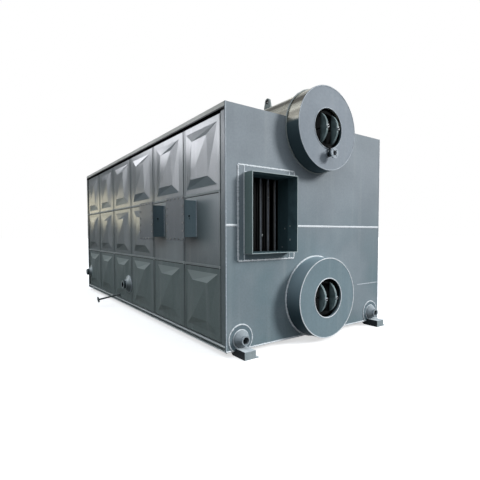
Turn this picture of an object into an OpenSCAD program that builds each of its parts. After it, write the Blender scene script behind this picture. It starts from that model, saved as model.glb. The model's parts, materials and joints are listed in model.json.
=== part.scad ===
// Body of a two-drum water-tube boiler: a rectangular steel casing with pressed side panels,
// an upper and a lower drum whose ends stand out in insulated collars, a header along each foot,
// and a flue outlet in the front plate.
// X runs across the body, Y along the drums with the front at -Y, Z up from the floor.
// Millimetres. The origin is on the floor, under the middle of the body.

/* [Casing] */
// Width over the side faces
casing_w = 3030; // [2800:10:3300]
// Length over the two end plates
casing_l = 6730; // [6300:10:7400]
// Height of the end plates
casing_h = 2950; // [2850:10:3100]
// Height of the end plates' lower edge above the floor
foot_h = 65; // [45:1:80]
// Thickness of an end plate
end_plate_t = 10; // [6:1:16]
// Thickness of the lining behind an end plate
lining_t = 200; // [120:5:240]
// Thickness of the roof and floor sheets
sheet_t = 6; // [4:1:10]
// Height of the roof's turned-down edge
roof_edge_h = 66; // [40:1:80]

/* [Side wall] */
// Panels in a row
panel_cols = 6; // [5:1:7]
// Width of the front column, between its seams
front_col_w = 960; // [900:10:1100]
// Height of the lowest seam above the end plates' lower edge
wall_base_h = 88; // [84:1:120]
// Depth from the end plates' top edge down to the highest seam
eave_h = 102; // [90:1:130]
// Depth of the end plates' edge past the first seam
end_recess = 105; // [80:1:140]
// Gap between two panels
seam_gap = 20; // [8:1:24]
// Distance of a panel's rim inside the side face
rim_setback = 8; // [2:1:20]
// Thickness of a panel at its rim
panel_t = 40; // [25:1:50]
// Width of the pressed field inside a panel's rim
field_w = 800; // [700:5:840]
// Height of the pressed field inside a panel's rim
field_h = 750; // [650:5:800]
// Width of the raised plateau in a pressed field
plateau_w = 420; // [300:5:500]
// Height of the raised plateau in a pressed field
plateau_h = 500; // [400:5:560]
// Height of the plateau's ridge over the rim
ridge_h = 40; // [20:1:60]
// Height of the plateau's two low corners over the rim
low_corner_h = 20; // [5:1:19]
// Width of a post or rail of the side frame
post_w = 90; // [60:2:120]
// Thickness of a post or rail of the side frame
post_t = 12; // [6:1:20]
// Leg of the angle at each corner of the casing
corner_leg = 88; // [50:1:100]
// Height of the base channel
channel_h = 72; // [60:1:80]
// Depth of the base channel
channel_d = 70; // [50:1:90]
// Thickness of the base channel's flanges
flange_t = 10; // [6:1:14]

/* [Drums] */
// Outer radius of both drums
drum_r = 450; // [420:5:480]
// Wall thickness of both drums
drum_wall = 16; // [10:1:24]
// Depth of the upper drum's axis below the end plates' top edge
upper_axis_drop = 122; // [90:1:170]
// Height of the lower drum's axis above the end plates' lower edge
lower_axis_h = 537; // [525:1:580]
// Distance of a manhole ring's face outside the end plate
drum_end_out = 190; // [170:1:200]
// Outer radius of the sheeting over the upper drum
cladding_r = 548; // [520:1:549]
// Outer radius of the upper drum's collars
upper_collar_r = 561; // [550:1:590]
// Outer radius of the lower drum's collars
lower_collar_r = 551; // [540:1:560]
// Length of the upper drum's collars
upper_collar_l = 228; // [215:1:260]
// Length of the lower drum's collars
lower_collar_l = 250; // [215:1:265]
// Radius of the hand opening in each collar
collar_bore_r = 263; // [250:1:280]
// Thickness of a collar's front ring
collar_front_t = 25; // [15:1:25]

/* [Manholes] */
// Inner radius of a manhole ring
manhole_r = 200; // [180:1:210]
// Outer radius of a manhole ring
manhole_ring_r = 240; // [225:1:245]
// Length of a manhole ring
manhole_ring_l = 55; // [40:1:70]
// Thickness of a manhole cover
cover_t = 25; // [16:1:40]
// Distance between the two yokes of a manhole
yoke_pitch = 210; // [160:5:240]
// Length of a yoke
yoke_l = 400; // [390:2:420]
// Height of a yoke's bow, up to the flat that carries its nut
yoke_bow = 105; // [70:1:110]
// Depth by which that flat cuts into the bow's curve
yoke_flat = 6; // [2:1:10]
// Thickness of a yoke
yoke_t = 32; // [28:1:45]
// Diameter of a manhole stud
stud_d = 20; // [16:1:22]
// Width of a manhole nut across its flats
nut_af = 40; // [34:1:46]
// Thickness of a manhole nut
nut_t = 18; // [12:1:24]

/* [Drum fittings] */
// Distance of the vent below the upper drum's axis
vent_drop = 345; // [330:1:355]
// Outer diameter of the vent pipe
vent_d = 42; // [36:1:46]
// Wall thickness of the vent and drain pipes
pipe_wall = 4; // [3:0.5:5]
// Distance of the vent flange's face from the collar
vent_l = 112; // [108:1:150]
// Diameter of the valve body on the vent
valve_d = 62; // [54:1:68]
// Length of the valve body on the vent
valve_l = 44; // [30:1:46]
// Height of the valve's bonnet over the vent's axis
bonnet_h = 60; // [40:1:64]
// Diameter of the valve's bonnet
bonnet_d = 30; // [20:1:40]
// Distance of each lifting lug from its end plate
lug_inset = 1040; // [600:10:1500]
// Width of a lifting lug at its foot
lug_w = 150; // [120:2:200]
// Thickness of a lifting lug
lug_t = 34; // [24:1:40]
// Height of a lifting lug's shoulder below its eye
lug_shoulder_drop = 77; // [60:1:120]
// Height of a lifting lug's eye above the drum
lug_eye_h = 268; // [240:1:320]
// Diameter of a lifting lug's eye
lug_eye_d = 50; // [40:1:60]
// Radius of a lifting lug's rounded head
lug_head_r = 55; // [50:1:60]

/* [Headers and feet] */
// Outer radius of a header
header_r = 109.5; // [100:0.5:114]
// Wall thickness of a header
header_wall = 10; // [6:1:14]
// Distance of a header's axis from the side face
header_inset = 215; // [205:1:240]
// Height of a header's axis above the end plates' lower edge
header_axis_h = 137; // [132:1:147]
// Length of a header outside the end plate, up to its cone
header_out = 30; // [20:1:45]
// Length of a header's end cone
header_cone_l = 60; // [40:1:75]
// Length of a header's end boss
boss_l = 25; // [15:1:40]
// Outer radius of a header's end boss
boss_r = 60; // [50:1:66]
// Radius of the bore in a header's end boss
boss_bore_r = 44; // [32:1:47]
// Outer radius of the ring plate round a header
header_ring_r = 172; // [155:1:180]
// Thickness of the ring plate round a header
header_ring_t = 8; // [5:1:14]
// Width of a foot
foot_w = 165; // [140:5:200]
// Distance of a foot's front outside the end plate
foot_out = 200; // [170:5:230]
// Distance of a foot's back inside the end plate
foot_in = 80; // [65:1:100]
// Radius of a foot's rounded heel under the body
foot_heel_r = 45; // [30:1:48]
// Distance by which a foot's base plate stands out on the foot's right
foot_plate_out = 45; // [25:5:70]
// Thickness of a foot's base plate
foot_plate_t = 12; // [8:1:20]
// Depth of the header's seat in a foot
saddle_depth = 6; // [3:1:12]

/* [Flue] */
// Distance of the duct's outer side from the side face
duct_inset = 268; // [250:1:300]
// Outer width of the duct
duct_w = 740; // [640:5:760]
// Outer height of the duct
duct_h = 978; // [800:2:1100]
// Height of the duct's underside above the end plates' lower edge
duct_base_h = 1176; // [1120:1:1250]
// Length of the duct outside the end plate
duct_out = 170; // [120:1:200]
// Wall thickness of the duct
duct_wall = 8; // [5:1:12]
// Width of the flat frame round the duct
flue_frame_w = 88; // [60:1:95]
// Thickness of the flat frame round the duct
flue_frame_t = 8; // [5:1:16]
// Outer diameter of a convection tube
tube_d = 51; // [38:1:57]
// Distance between two rows of tubes along the drums
tube_row_pitch = 110; // [90:1:140]
// Rows of tubes behind the flue outlet
tube_rows = 6; // [3:1:8]
// Distance between two columns of tubes
tube_col_pitch = 128; // [115:1:135]
// Distance of the nearest column from the drums' axes
tube_col_first = 506; // [500:1:540]
// Columns of tubes
tube_cols = 3; // [2:1:3]
// Distance of the first row from the end plate's face
tube_first_row = 300; // [290:1:400]
// Bend radius of a tube
tube_bend_r = 100; // [60:5:110]
// Height between the level ends of neighbouring columns
tube_level_step = 105; // [60:5:115]

/* [Access boxes] */
// Distance from the end plate to the first box's middle
box_first = 917; // [860:1:1000]
// Distance between the two boxes' middles
box_pitch = 1035; // [900:5:1200]
// Height of the boxes' middle above the end plates' lower edge
box_axis_h = 1615; // [1590:1:1640]
// Width of a box
box_w = 430; // [380:5:460]
// Height of a box
box_h = 480; // [440:5:520]
// Distance of a box's rim from the side face
box_out = 200; // [120:5:240]
// Wall thickness of a box
box_wall = 8; // [5:1:12]
// Width of a box's cover
cover_w = 550; // [500:5:600]
// Height of a box's cover
cover_h = 590; // [540:5:620]
// Thickness of a box's cover
box_cover_t = 12; // [8:1:20]
// Diameter of the sight hole in a box's side
sight_d = 16; // [10:1:24]

/* [Side connections] */
// Outer diameter of the vent's flange
vent_flange_d = 140; // [132:1:150]
// Bolt circle of the vent's flange
vent_flange_pcd = 100; // [90:1:104]
// Diameter of a bolt hole in the vent's flange
vent_bolt_hole_d = 18; // [12:1:20]
// Distance of the first side nozzle from the front plate
nozzle_front = 3450; // [3440:5:3700]
// Distance of the second side nozzle from the rear plate
nozzle_rear = 362; // [330:1:530]
// Height of the side nozzles above the end plates' lower edge
nozzle_axis_h = 440; // [380:5:600]
// Radius of a side nozzle at its foot
nozzle_foot_r = 160; // [140:1:180]
// Radius of a side nozzle at its neck
nozzle_neck_r = 78; // [70:1:90]
// Radius of a side nozzle's bore
nozzle_bore_r = 52; // [40:1:60]
// Distance of a side nozzle's mouth from the side face
nozzle_out = 125; // [110:5:150]
// Distance of a side nozzle's cone end from the side face
nozzle_cone_out = 70; // [50:5:90]
// Length of a side nozzle's straight foot outside the side face
nozzle_foot_out = 10; // [5:1:20]
// Distance of the drain from the front plate
drain_y = 4062; // [4000:5:4200]
// Height of the drain above the end plates' lower edge, where it passes the side face
drain_h = 152; // [148:1:160]
// Fall of the drain pipe below the level, in degrees
drain_fall = 9; // [0:0.5:12]
// Outer diameter of the drain pipe
drain_d = 34; // [30:1:38]
// Distance of the drain flange's face from the side face
drain_out = 440; // [380:5:500]
// Diameter of the collar plate round the drain
drain_disc_d = 100; // [70:1:110]
// Outer diameter of the drain's flange
drain_flange_d = 115; // [110:1:125]
// Bolt circle of the drain's flange
drain_flange_pcd = 85; // [75:1:90]
// Diameter of a bolt hole in the drain's flange
drain_bolt_hole_d = 14; // [11:1:15]
// Thickness of a pipe flange
pipe_flange_t = 16; // [12:1:20]
// Bolt holes in a pipe flange
bolt_holes = 4; // [4:4:8]

/* [Hidden] */

// Clearance of pieces that fit in each other
fit = 0.3;
// A little extra length for cuts
cut = 5;
// How far welded pieces of one solid run into each other
sink = 1;
$fn = 96;

panel_rows = 3;
plain_cols = 2;
half_w = casing_w / 2;
half_l = casing_l / 2;
base_z = foot_h;
top_z = base_z + casing_h;
roof_z = top_z - sheet_t;
floor_z = base_z + channel_h;
inner_l = casing_l - 2 * end_plate_t;
upper_z = top_z - upper_axis_drop;
lower_z = base_z + lower_axis_h;

// Side wall: planes counted from the middle of the body outwards
rim_x = half_w - rim_setback;
frame_x = rim_x - panel_t;
wall_x = frame_x - post_t;
col_pitch = (casing_l - 2 * end_recess - front_col_w) / (panel_cols - 1);
row_pitch = (casing_h - wall_base_h - eave_h) / panel_rows;
// Place of a seam along the wall: 0 is the front end, panel_cols the rear end
function seam_y(i) = i == 0 ? -half_l + end_recess
    : -half_l + end_recess + front_col_w + (i - 1) * col_pitch;
// Height of a seam: 0 is the lowest, panel_rows the highest
function seam_z(j) = base_z + wall_base_h + j * row_pitch;

// Drum ends, counted outwards along the drums' axes
head_depth = drum_r / 2;
ring_face = half_l + drum_end_out;
ring_back = ring_face - manhole_ring_l;
head_flat = 10;
tangent_y = ring_face - head_flat - head_depth;
// How far a head of radius r and depth d reaches past its tangent line at distance x from the axis
function head_reach(r, d, x) = d * sqrt(1 - pow(x / r, 2));

header_x = half_w - header_inset;
header_z = base_z + header_axis_h;
header_end = half_l + header_out + header_cone_l + boss_l;

// Places of the side nozzles along the body
nozzle_places = [-half_l + nozzle_front, half_l - nozzle_rear];

duct_x0 = -half_w + duct_inset;
duct_x1 = duct_x0 + duct_w;
duct_z0 = base_z + duct_base_h;
duct_z1 = duct_z0 + duct_h;

// Colours
plate_grey = [0.53, 0.57, 0.60];
panel_grey = [0.45, 0.48, 0.48];
slate_grey = [0.25, 0.30, 0.33];
dark_steel = [0.20, 0.21, 0.22];
bright_sheet = [0.78, 0.77, 0.72];
lining_grey = [0.40, 0.38, 0.35];

module on_left() {
    mirror([1, 0, 0]) children();
}

module on_both_sides() {
    children();
    on_left() children();
}

module at_rear() {
    mirror([0, 1, 0]) children();
}

module at_both_ends() {
    children();
    at_rear() children();
}

module block(x0, x1, y0, y1, z0, z1) {
    translate([x0, y0, z0]) cube([x1 - x0, y1 - y0, z1 - z0]);
}

module ring(r_out, r_in, l) {
    difference() {
        cylinder(r = r_out, h = l);
        translate([0, 0, -cut]) cylinder(r = r_in, h = l + 2 * cut);
    }
}

// A cylinder along the drums, between two places y0 < y1
module rod_y(r, y0, y1, x, z) {
    translate([x, y0, z]) rotate([-90, 0, 0]) cylinder(r = r, h = y1 - y0);
}

// A cylinder across the body, between two places x0 < x1
module rod_x(r, x0, x1, y, z) {
    translate([x0, y, z]) rotate([0, 90, 0]) cylinder(r = r, h = x1 - x0);
}

// Holes for drums and headers through an end plate or a lining
module end_holes(y0, y1) {
    for (z = [lower_z, upper_z])
        rod_y(drum_r + fit, y0, y1, 0, z);
    for (x = [-header_x, header_x])
        rod_y(header_r + fit, y0, y1, x, header_z);
}

module flue_hole(y0, y1, gap) {
    block(duct_x0 - gap, duct_x1 + gap, y0, y1, duct_z0 - gap, duct_z1 + gap);
}

module end_plate() {
    difference() {
        block(-half_w, half_w, -half_l, -half_l + end_plate_t, base_z, top_z);
        end_holes(-half_l - cut, -half_l + end_plate_t + cut);
    }
}

module lining() {
    lining_x = wall_x - fit;
    lining_y0 = -half_l + end_plate_t;
    difference() {
        block(-lining_x, lining_x, lining_y0, lining_y0 + lining_t, floor_z, roof_z);
        end_holes(lining_y0 - cut, lining_y0 + lining_t + cut);
    }
}

module front_plate() {
    color(plate_grey) difference() {
        end_plate();
        flue_hole(-half_l - cut, -half_l + end_plate_t + cut, 0);
    }
}

module rear_plate() {
    color(plate_grey) at_rear() end_plate();
}

module front_lining() {
    color(lining_grey) difference() {
        lining();
        flue_hole(-half_l, -half_l + end_plate_t + lining_t + cut, -duct_wall);
    }
}

module rear_lining() {
    color(lining_grey) at_rear() lining();
}

module floor_sheet() {
    sheet_x = header_x - header_r - fit;
    color(plate_grey)
        block(-sheet_x, sheet_x, -inner_l / 2, inner_l / 2, floor_z - sheet_t, floor_z);
}

module roof_sheet() {
    difference() {
        union() {
            block(0, half_w, -inner_l / 2, inner_l / 2, roof_z, top_z);
            block(half_w - sheet_t, half_w, -inner_l / 2, inner_l / 2, top_z - roof_edge_h, top_z);
        }
        rod_y(drum_r + fit, -half_l, half_l, 0, upper_z);
    }
}

module right_roof_sheet() {
    color(plate_grey) roof_sheet();
}

module left_roof_sheet() {
    color(plate_grey) on_left() roof_sheet();
}

module base_channel() {
    web_x = half_w - channel_d;
    block(web_x, web_x + flange_t, -inner_l / 2, inner_l / 2, base_z, floor_z);
    block(web_x, half_w, -inner_l / 2, inner_l / 2, base_z, base_z + flange_t);
    block(web_x, half_w, -inner_l / 2, inner_l / 2, floor_z - flange_t, floor_z);
}

module right_base_channel() {
    color(slate_grey) base_channel();
}

module left_base_channel() {
    color(slate_grey) on_left() base_channel();
}

// Posts behind the upright seams, rails behind the level ones, and an angle at each corner
module side_frame() {
    union() {
        for (i = [0 : panel_cols]) {
            y = seam_y(i);
            y0 = i == 0 ? -inner_l / 2 : y - post_w / 2;
            y1 = i == panel_cols ? inner_l / 2 : y + post_w / 2;
            block(wall_x, frame_x, y0, y1, floor_z, roof_z);
        }
        for (j = [0 : panel_rows]) {
            z0 = max(floor_z, seam_z(j) - post_w / 2);
            z1 = j == panel_rows ? roof_z : seam_z(j) + post_w / 2;
            block(wall_x, frame_x, -inner_l / 2, inner_l / 2, z0, z1);
        }
        at_both_ends() {
            block(frame_x - cut, half_w, -inner_l / 2, -inner_l / 2 + post_t, floor_z,
                top_z - roof_edge_h);
            block(half_w - post_t, half_w, -inner_l / 2,
                -half_l + min(corner_leg, end_recess - seam_gap / 2 - 5), floor_z,
                top_z - roof_edge_h);
        }
    }
}

module right_frame() {
    color(slate_grey) side_frame();
}

module left_frame() {
    color(slate_grey) on_left() side_frame();
}

// A pressed sheet seen from outside: a flat rim, four sloping flanks and a plateau that is
// creased along one diagonal, from its top front corner to its bottom rear corner.
// u runs to the rear, v up, and the height over the rim runs outwards.
module pressed_panel(w, h) {
    rect = function(a, b, x) [
        [x, -a / 2, -b / 2], [x, a / 2, -b / 2], [x, a / 2, b / 2], [x, -a / 2, b / 2]];
    plateau = [
        [low_corner_h, -plateau_w / 2, -plateau_h / 2],
        [ridge_h, plateau_w / 2, -plateau_h / 2],
        [low_corner_h, plateau_w / 2, plateau_h / 2],
        [ridge_h, -plateau_w / 2, plateau_h / 2]];
    back = 0;
    rim = 4;
    field = 8;
    top = 12;
    sides = [for (i = [0 : 3]) let (j = (i + 1) % 4) each [
        [back + j, back + i, rim + i, rim + j],
        [rim + j, rim + i, field + i, field + j]]];
    // Each flank folds along the line from the field's corner to the lower plateau corner
    flanks = [for (i = [0 : 3]) let (j = (i + 1) % 4) each i % 2 == 0
        ? [[field + j, field + i, top + i], [field + j, top + i, top + j]]
        : [[field + j, field + i, top + j], [field + i, top + i, top + j]]];
    polyhedron(
        points = concat(rect(w, h, -panel_t), rect(w, h, 0),
            rect(min(field_w, w - 2 * seam_gap), min(field_h, h - 2 * seam_gap), 0), plateau),
        faces = concat([[3, 2, 1, 0]], [for (f = sides) [f[3], f[2], f[1], f[0]]],
            [for (f = flanks) [f[2], f[1], f[0]]],
            [[top + 3, top + 1, top + 0], [top + 3, top + 2, top + 1]]));
}

// Middle and size of the panel in column i and row j
function panel_y(i) = (seam_y(i) + seam_y(i + 1)) / 2;
function panel_z(j) = (seam_z(j) + seam_z(j + 1)) / 2;
function panel_w(i) = seam_y(i + 1) - seam_y(i) - seam_gap;
panel_h = row_pitch - seam_gap;

module pressed_row(j, first) {
    for (i = [first : panel_cols - 1])
        translate([rim_x, panel_y(i), panel_z(j)]) pressed_panel(panel_w(i), panel_h);
}

module top_panels() {
    pressed_row(2, 0);
}

module middle_panels() {
    pressed_row(1, plain_cols);
}

module plain_panels() {
    for (i = [0 : plain_cols - 1])
        block(frame_x, rim_x, panel_y(i) - panel_w(i) / 2, panel_y(i) + panel_w(i) / 2,
            panel_z(1) - panel_h / 2, panel_z(1) + panel_h / 2);
}

// The lower panels have holes for the side nozzles and the drain
module lower_panels() {
    difference() {
        pressed_row(0, 0);
        for (y = nozzle_places)
            rod_x(nozzle_foot_r + fit, frame_x - cut, half_w + ridge_h, y, base_z + nozzle_axis_h);
        at_drain() rod_x(drain_d / 2 + 2 * fit, -header_inset / 2, ridge_h, 0, 0);
        rod_x(drain_disc_d / 2 + fit, rim_x, half_w + ridge_h, -half_l + drain_y, base_z + drain_h);
    }
}

module right_top_panels() {
    color(panel_grey) top_panels();
}

module left_top_panels() {
    color(panel_grey) on_left() top_panels();
}

module right_middle_panels() {
    color(panel_grey) middle_panels();
}

module left_middle_panels() {
    color(panel_grey) on_left() middle_panels();
}

module right_plain_panels() {
    color(panel_grey) plain_panels();
}

module left_plain_panels() {
    color(panel_grey) on_left() plain_panels();
}

module right_lower_panels() {
    color(panel_grey) lower_panels();
}

module left_lower_panels() {
    color(panel_grey) on_left() lower_panels();
}

// Points of one end of a drum's section, from its outside to its inside: x is the radius,
// y the place along the axis. The steps get finer towards the head's knuckle.
function drum_end_points() =
    let (
        steps = 12,
        r_in = drum_r - drum_wall,
        d_in = head_depth - drum_wall,
        outer = [for (k = [0 : steps]) let (x = drum_r - (drum_r - manhole_ring_r) * pow(k / steps, 2))
            [x, tangent_y + head_reach(drum_r, head_depth, x)]],
        inner = [for (k = [steps : -1 : 0]) let (x = r_in - (r_in - manhole_ring_r) * pow(k / steps, 2))
            [x, tangent_y + head_reach(r_in, d_in, x)]])
    concat(outer, [[manhole_ring_r, ring_face], [manhole_r, ring_face],
        [manhole_r, ring_back], [manhole_ring_r, ring_back]], inner);

// The same points for the other end, so that the two make one closed outline
function both_ends(points) =
    concat(points, [for (k = [len(points) - 1 : -1 : 0]) [points[k].x, -points[k].y]]);

module drum() {
    rotate([90, 0, 0]) rotate_extrude() polygon(both_ends(drum_end_points()));
}

module upper_drum() {
    color(dark_steel) translate([0, 0, upper_z]) drum();
}

module lower_drum() {
    color(dark_steel) translate([0, 0, lower_z]) drum();
}

// Sheeting over the part of the upper drum that stands above the roof
module drum_cladding() {
    color(bright_sheet) difference() {
        rod_y(cladding_r, -half_l, half_l, 0, upper_z);
        rod_y(drum_r + fit, -half_l - cut, half_l + cut, 0, upper_z);
        block(-half_w, half_w, -half_l - cut, half_l + cut, 0, top_z);
        at_both_ends() lug_blank(lug_t + 2 * fit, fit);
    }
}

// A lifting lug without its eye, grown by a gap
module lug_blank(t, gap) {
    translate([-t / 2, -half_l + lug_inset, upper_z]) rotate([90, 0, 90])
        linear_extrude(t) {
            w = lug_w / 2 + gap;
            r = lug_head_r + gap;
            eye_z = drum_r + lug_eye_h;
            shoulder_z = eye_z - lug_shoulder_drop;
            polygon([[-w, 0], [w, 0], [w, shoulder_z], [r, eye_z], [-r, eye_z], [-w, shoulder_z]]);
            translate([0, eye_z]) circle(r = r);
        }
}

module lifting_lugs() {
    color(plate_grey) at_both_ends() difference() {
        lug_blank(lug_t, 0);
        rod_y(drum_r + fit, -half_l, half_l, 0, upper_z);
        rod_x(lug_eye_d / 2, -lug_t, lug_t, -half_l + lug_inset, upper_z + drum_r + lug_eye_h);
    }
}

// A drum end's insulated collar: a thick ring wall with a front ring round the hand opening
module collar(r, l) {
    rotate([90, 0, 0]) rotate_extrude()
        polygon([
            [collar_bore_r, l], [r, l], [r, 0], [drum_r + fit, 0],
            [drum_r + fit, l - collar_front_t], [collar_bore_r, l - collar_front_t]]);
}

// The upper collars have a hole for the vent pipe
module upper_collar() {
    difference() {
        translate([0, -half_l, upper_z]) collar(upper_collar_r, upper_collar_l);
        rod_y(vent_d / 2 + fit, -half_l - upper_collar_l - cut, -half_l, 0, upper_z - vent_drop);
    }
}

module lower_collar() {
    translate([0, -half_l, lower_z]) collar(lower_collar_r, lower_collar_l);
}

module front_upper_collar() {
    color(plate_grey) upper_collar();
}

module rear_upper_collar() {
    color(plate_grey) at_rear() upper_collar();
}

module front_lower_collar() {
    color(plate_grey) lower_collar();
}

module rear_lower_collar() {
    color(plate_grey) at_rear() lower_collar();
}

module at_manholes() {
    at_both_ends()
        for (z = [lower_z, upper_z])
            translate([0, -ring_face, z]) children();
}

// Manhole covers close the rings from inside, and carry two studs each
module manhole_covers() {
    cover_r = (manhole_r + manhole_ring_r) / 2;
    stud_end = yoke_bow + nut_t + stud_d / 2;
    color(dark_steel) at_manholes() {
        rod_y(cover_r, manhole_ring_l, manhole_ring_l + cover_t, 0, 0);
        for (x = [-yoke_pitch / 2, yoke_pitch / 2])
            rod_y(stud_d / 2, -stud_end, manhole_ring_l + sink, x, 0);
    }
}

// Bow-shaped plates that span the rings; their tops are flat where the nuts sit
module manhole_yokes() {
    bow = yoke_bow + yoke_flat;
    bow_r = (pow(yoke_l / 2, 2) + pow(bow, 2)) / (2 * bow);
    color(slate_grey) at_manholes()
        for (x = [-yoke_pitch / 2, yoke_pitch / 2])
            difference() {
                intersection() {
                    rod_x(bow_r, x - yoke_t / 2, x + yoke_t / 2, bow_r - bow, 0);
                    block(x - yoke_t, x + yoke_t, -yoke_bow, 0, -yoke_l / 2, yoke_l / 2);
                }
                rod_y(stud_d / 2 + fit, -yoke_bow - cut, cut, x, 0);
            }
}

module manhole_nuts() {
    color(plate_grey) at_manholes()
        for (x = [-yoke_pitch / 2, yoke_pitch / 2])
            difference() {
                translate([x, -yoke_bow, 0]) rotate([90, 0, 0])
                    cylinder(d = nut_af / cos(30), h = nut_t, $fn = 6);
                rod_y(stud_d / 2 + fit, -yoke_bow - nut_t - cut, -yoke_bow + cut, x, 0);
            }
}

// A pipe flange whose face is at z = 0 and whose body runs up
module pipe_flange(d, bore_d, pcd, hole_d) {
    difference() {
        ring(d / 2, bore_d / 2, pipe_flange_t);
        for (k = [0 : bolt_holes - 1])
            rotate([0, 0, (k + 0.5) * 360 / bolt_holes]) translate([pcd / 2, 0, -cut])
                cylinder(d = hole_d, h = pipe_flange_t + 2 * cut);
    }
}

// A pipe along +Z, of length l, with a flange of diameter flange_d at its start
module flanged_pipe(d, l, flange_d, pcd, hole_d) {
    pipe_flange(flange_d, d - 2 * pipe_wall, pcd, hole_d);
    ring(d / 2, d / 2 - pipe_wall, l);
}

// The vent in an upper drum end, with its small valve
module drum_vent() {
    face_y = -half_l - upper_collar_l - vent_l;
    head_y = -tangent_y - head_reach(drum_r, head_depth, vent_drop - vent_d / 2) - fit;
    valve_y = face_y + vent_l / 2 + pipe_flange_t / 2;
    bore_r = vent_d / 2 - pipe_wall;
    translate([0, face_y, upper_z - vent_drop]) rotate([-90, 0, 0])
        flanged_pipe(vent_d, head_y - face_y, vent_flange_d, vent_flange_pcd, vent_bolt_hole_d);
    difference() {
        union() {
            rod_y(valve_d / 2, valve_y, valve_y + valve_l, 0, upper_z - vent_drop);
            translate([0, valve_y + valve_l / 2, upper_z - vent_drop])
                cylinder(d = bonnet_d, h = bonnet_h);
        }
        rod_y(bore_r + pipe_wall / 2, valve_y - cut, valve_y + valve_l + cut, 0, upper_z - vent_drop);
    }
}

module drum_vents() {
    color(slate_grey) at_both_ends() drum_vent();
}

// Points of one end of a header's section: x is the radius, y the place along it
function header_end_points() =
    let (
        y0 = half_l + header_out,
        y1 = y0 + header_cone_l,
        r_in = header_r - header_wall)
    [[header_r, y0], [boss_r, y1], [boss_r, header_end], [boss_bore_r, header_end],
        [boss_bore_r, y1], [r_in, y0]];

module header() {
    difference() {
        translate([header_x, 0, header_z]) rotate([90, 0, 0]) rotate_extrude()
            polygon(both_ends(header_end_points()));
        at_drain() rod_x(drain_d / 2 - pipe_wall, -header_inset, 0, 0, 0);
    }
}

module right_header() {
    color(plate_grey) header();
}

module left_header() {
    color(plate_grey) on_left() header();
}

// Ring plates round the headers, cut off level with the end plates' lower edge
module header_rings() {
    color(plate_grey) at_both_ends() on_both_sides()
        difference() {
            translate([header_x, -half_l, header_z]) rotate([90, 0, 0])
                ring(header_ring_r, header_r + fit, header_ring_t);
            block(header_x - header_ring_r, header_x + header_ring_r, -half_l - header_ring_t - cut,
                -half_l + cut, 0, base_z);
        }
}

// A foot under a header's end: it holds the header in a shallow seat, passes under the end plate
// and ends in a rounded heel. Its base plate stands out by plate_left and plate_right.
module foot(plate_left, plate_right) {
    seat_z = header_z - header_r + saddle_depth;
    x0 = header_x - foot_w / 2;
    x1 = header_x + foot_w / 2;
    y0 = -half_l - foot_out;
    heel_y = -half_l + foot_in - foot_heel_r;
    difference() {
        union() {
            block(x0, x1, y0, heel_y, 0, seat_z);
            block(x0, x1, heel_y, heel_y + foot_heel_r, foot_heel_r, seat_z);
            rod_x(foot_heel_r, x0, x1, heel_y, foot_heel_r);
            block(x0 - plate_left, x1 + plate_right, y0, -half_l, 0, foot_plate_t);
        }
        rod_y(header_r + fit, y0 - cut, -half_l + foot_in + cut, header_x, header_z);
        block(x0 - cut, x1 + cut, -half_l - header_ring_t - fit, -half_l + end_plate_t + fit,
            base_z - fit, seat_z + cut);
    }
}

module front_right_foot() {
    color(slate_grey) foot(0, foot_plate_out);
}

module front_left_foot() {
    color(slate_grey) on_left() foot(foot_plate_out, 0);
}

module rear_right_foot() {
    color(slate_grey) at_rear() foot(0, foot_plate_out);
}

module rear_left_foot() {
    color(slate_grey) at_rear() on_left() foot(foot_plate_out, 0);
}

// Flat bars laid round the duct on the front plate
module flue_frame() {
    color(plate_grey) difference() {
        block(duct_x0 - flue_frame_w, duct_x1 + flue_frame_w, -half_l - flue_frame_t, -half_l,
            duct_z0 - flue_frame_w, duct_z1 + flue_frame_w);
        flue_hole(-half_l - flue_frame_t - cut, -half_l + cut, fit);
    }
}

module flue_duct() {
    color(slate_grey) difference() {
        block(duct_x0 + fit, duct_x1 - fit, -half_l - duct_out, -half_l + end_plate_t,
            duct_z0 + fit, duct_z1 - fit);
        flue_hole(-half_l - duct_out - cut, -half_l + end_plate_t + cut, -duct_wall);
    }
}

// A quarter bend in the X-Z plane, from the origin rising along +Z and turning towards +X
module bend(r, tube_r) {
    translate([r, 0, 0]) rotate([90, 0, 0]) rotate([0, 0, 90])
        rotate_extrude(angle = 90) translate([r, 0]) circle(r = tube_r);
}

// A tube that leaves the lower drum level, rises and enters the upper drum level.
// Columns further out leave and enter nearer to the drums' axes.
module convection_tube(col) {
    r = tube_d / 2;
    x = -tube_col_first - col * tube_col_pitch;
    offset_z = (tube_cols - col) * tube_level_step;
    z0 = lower_z + offset_z;
    z1 = upper_z - offset_z;
    translate([x, 0, z0 + tube_bend_r]) cylinder(r = r, h = z1 - z0 - 2 * tube_bend_r);
    translate([x, 0, z1 - tube_bend_r]) bend(tube_bend_r, r);
    translate([x, 0, z0 + tube_bend_r]) mirror([0, 0, 1]) bend(tube_bend_r, r);
    for (z = [z0, z1])
        rod_x(r, x + tube_bend_r, 0, 0, z);
}

module convection_tubes() {
    color(dark_steel)
        for (row = [0 : tube_rows - 1], col = [0 : tube_cols - 1])
            difference() {
                translate([0, -half_l + tube_first_row + row * tube_row_pitch, 0])
                    convection_tube(col);
                for (z = [lower_z, upper_z])
                    rod_y(drum_r + fit, -half_l, 0, 0, z);
            }
}

module at_boxes() {
    for (k = [0, 1])
        translate([0, -half_l + box_first + k * box_pitch, base_z + box_axis_h]) children();
}

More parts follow.
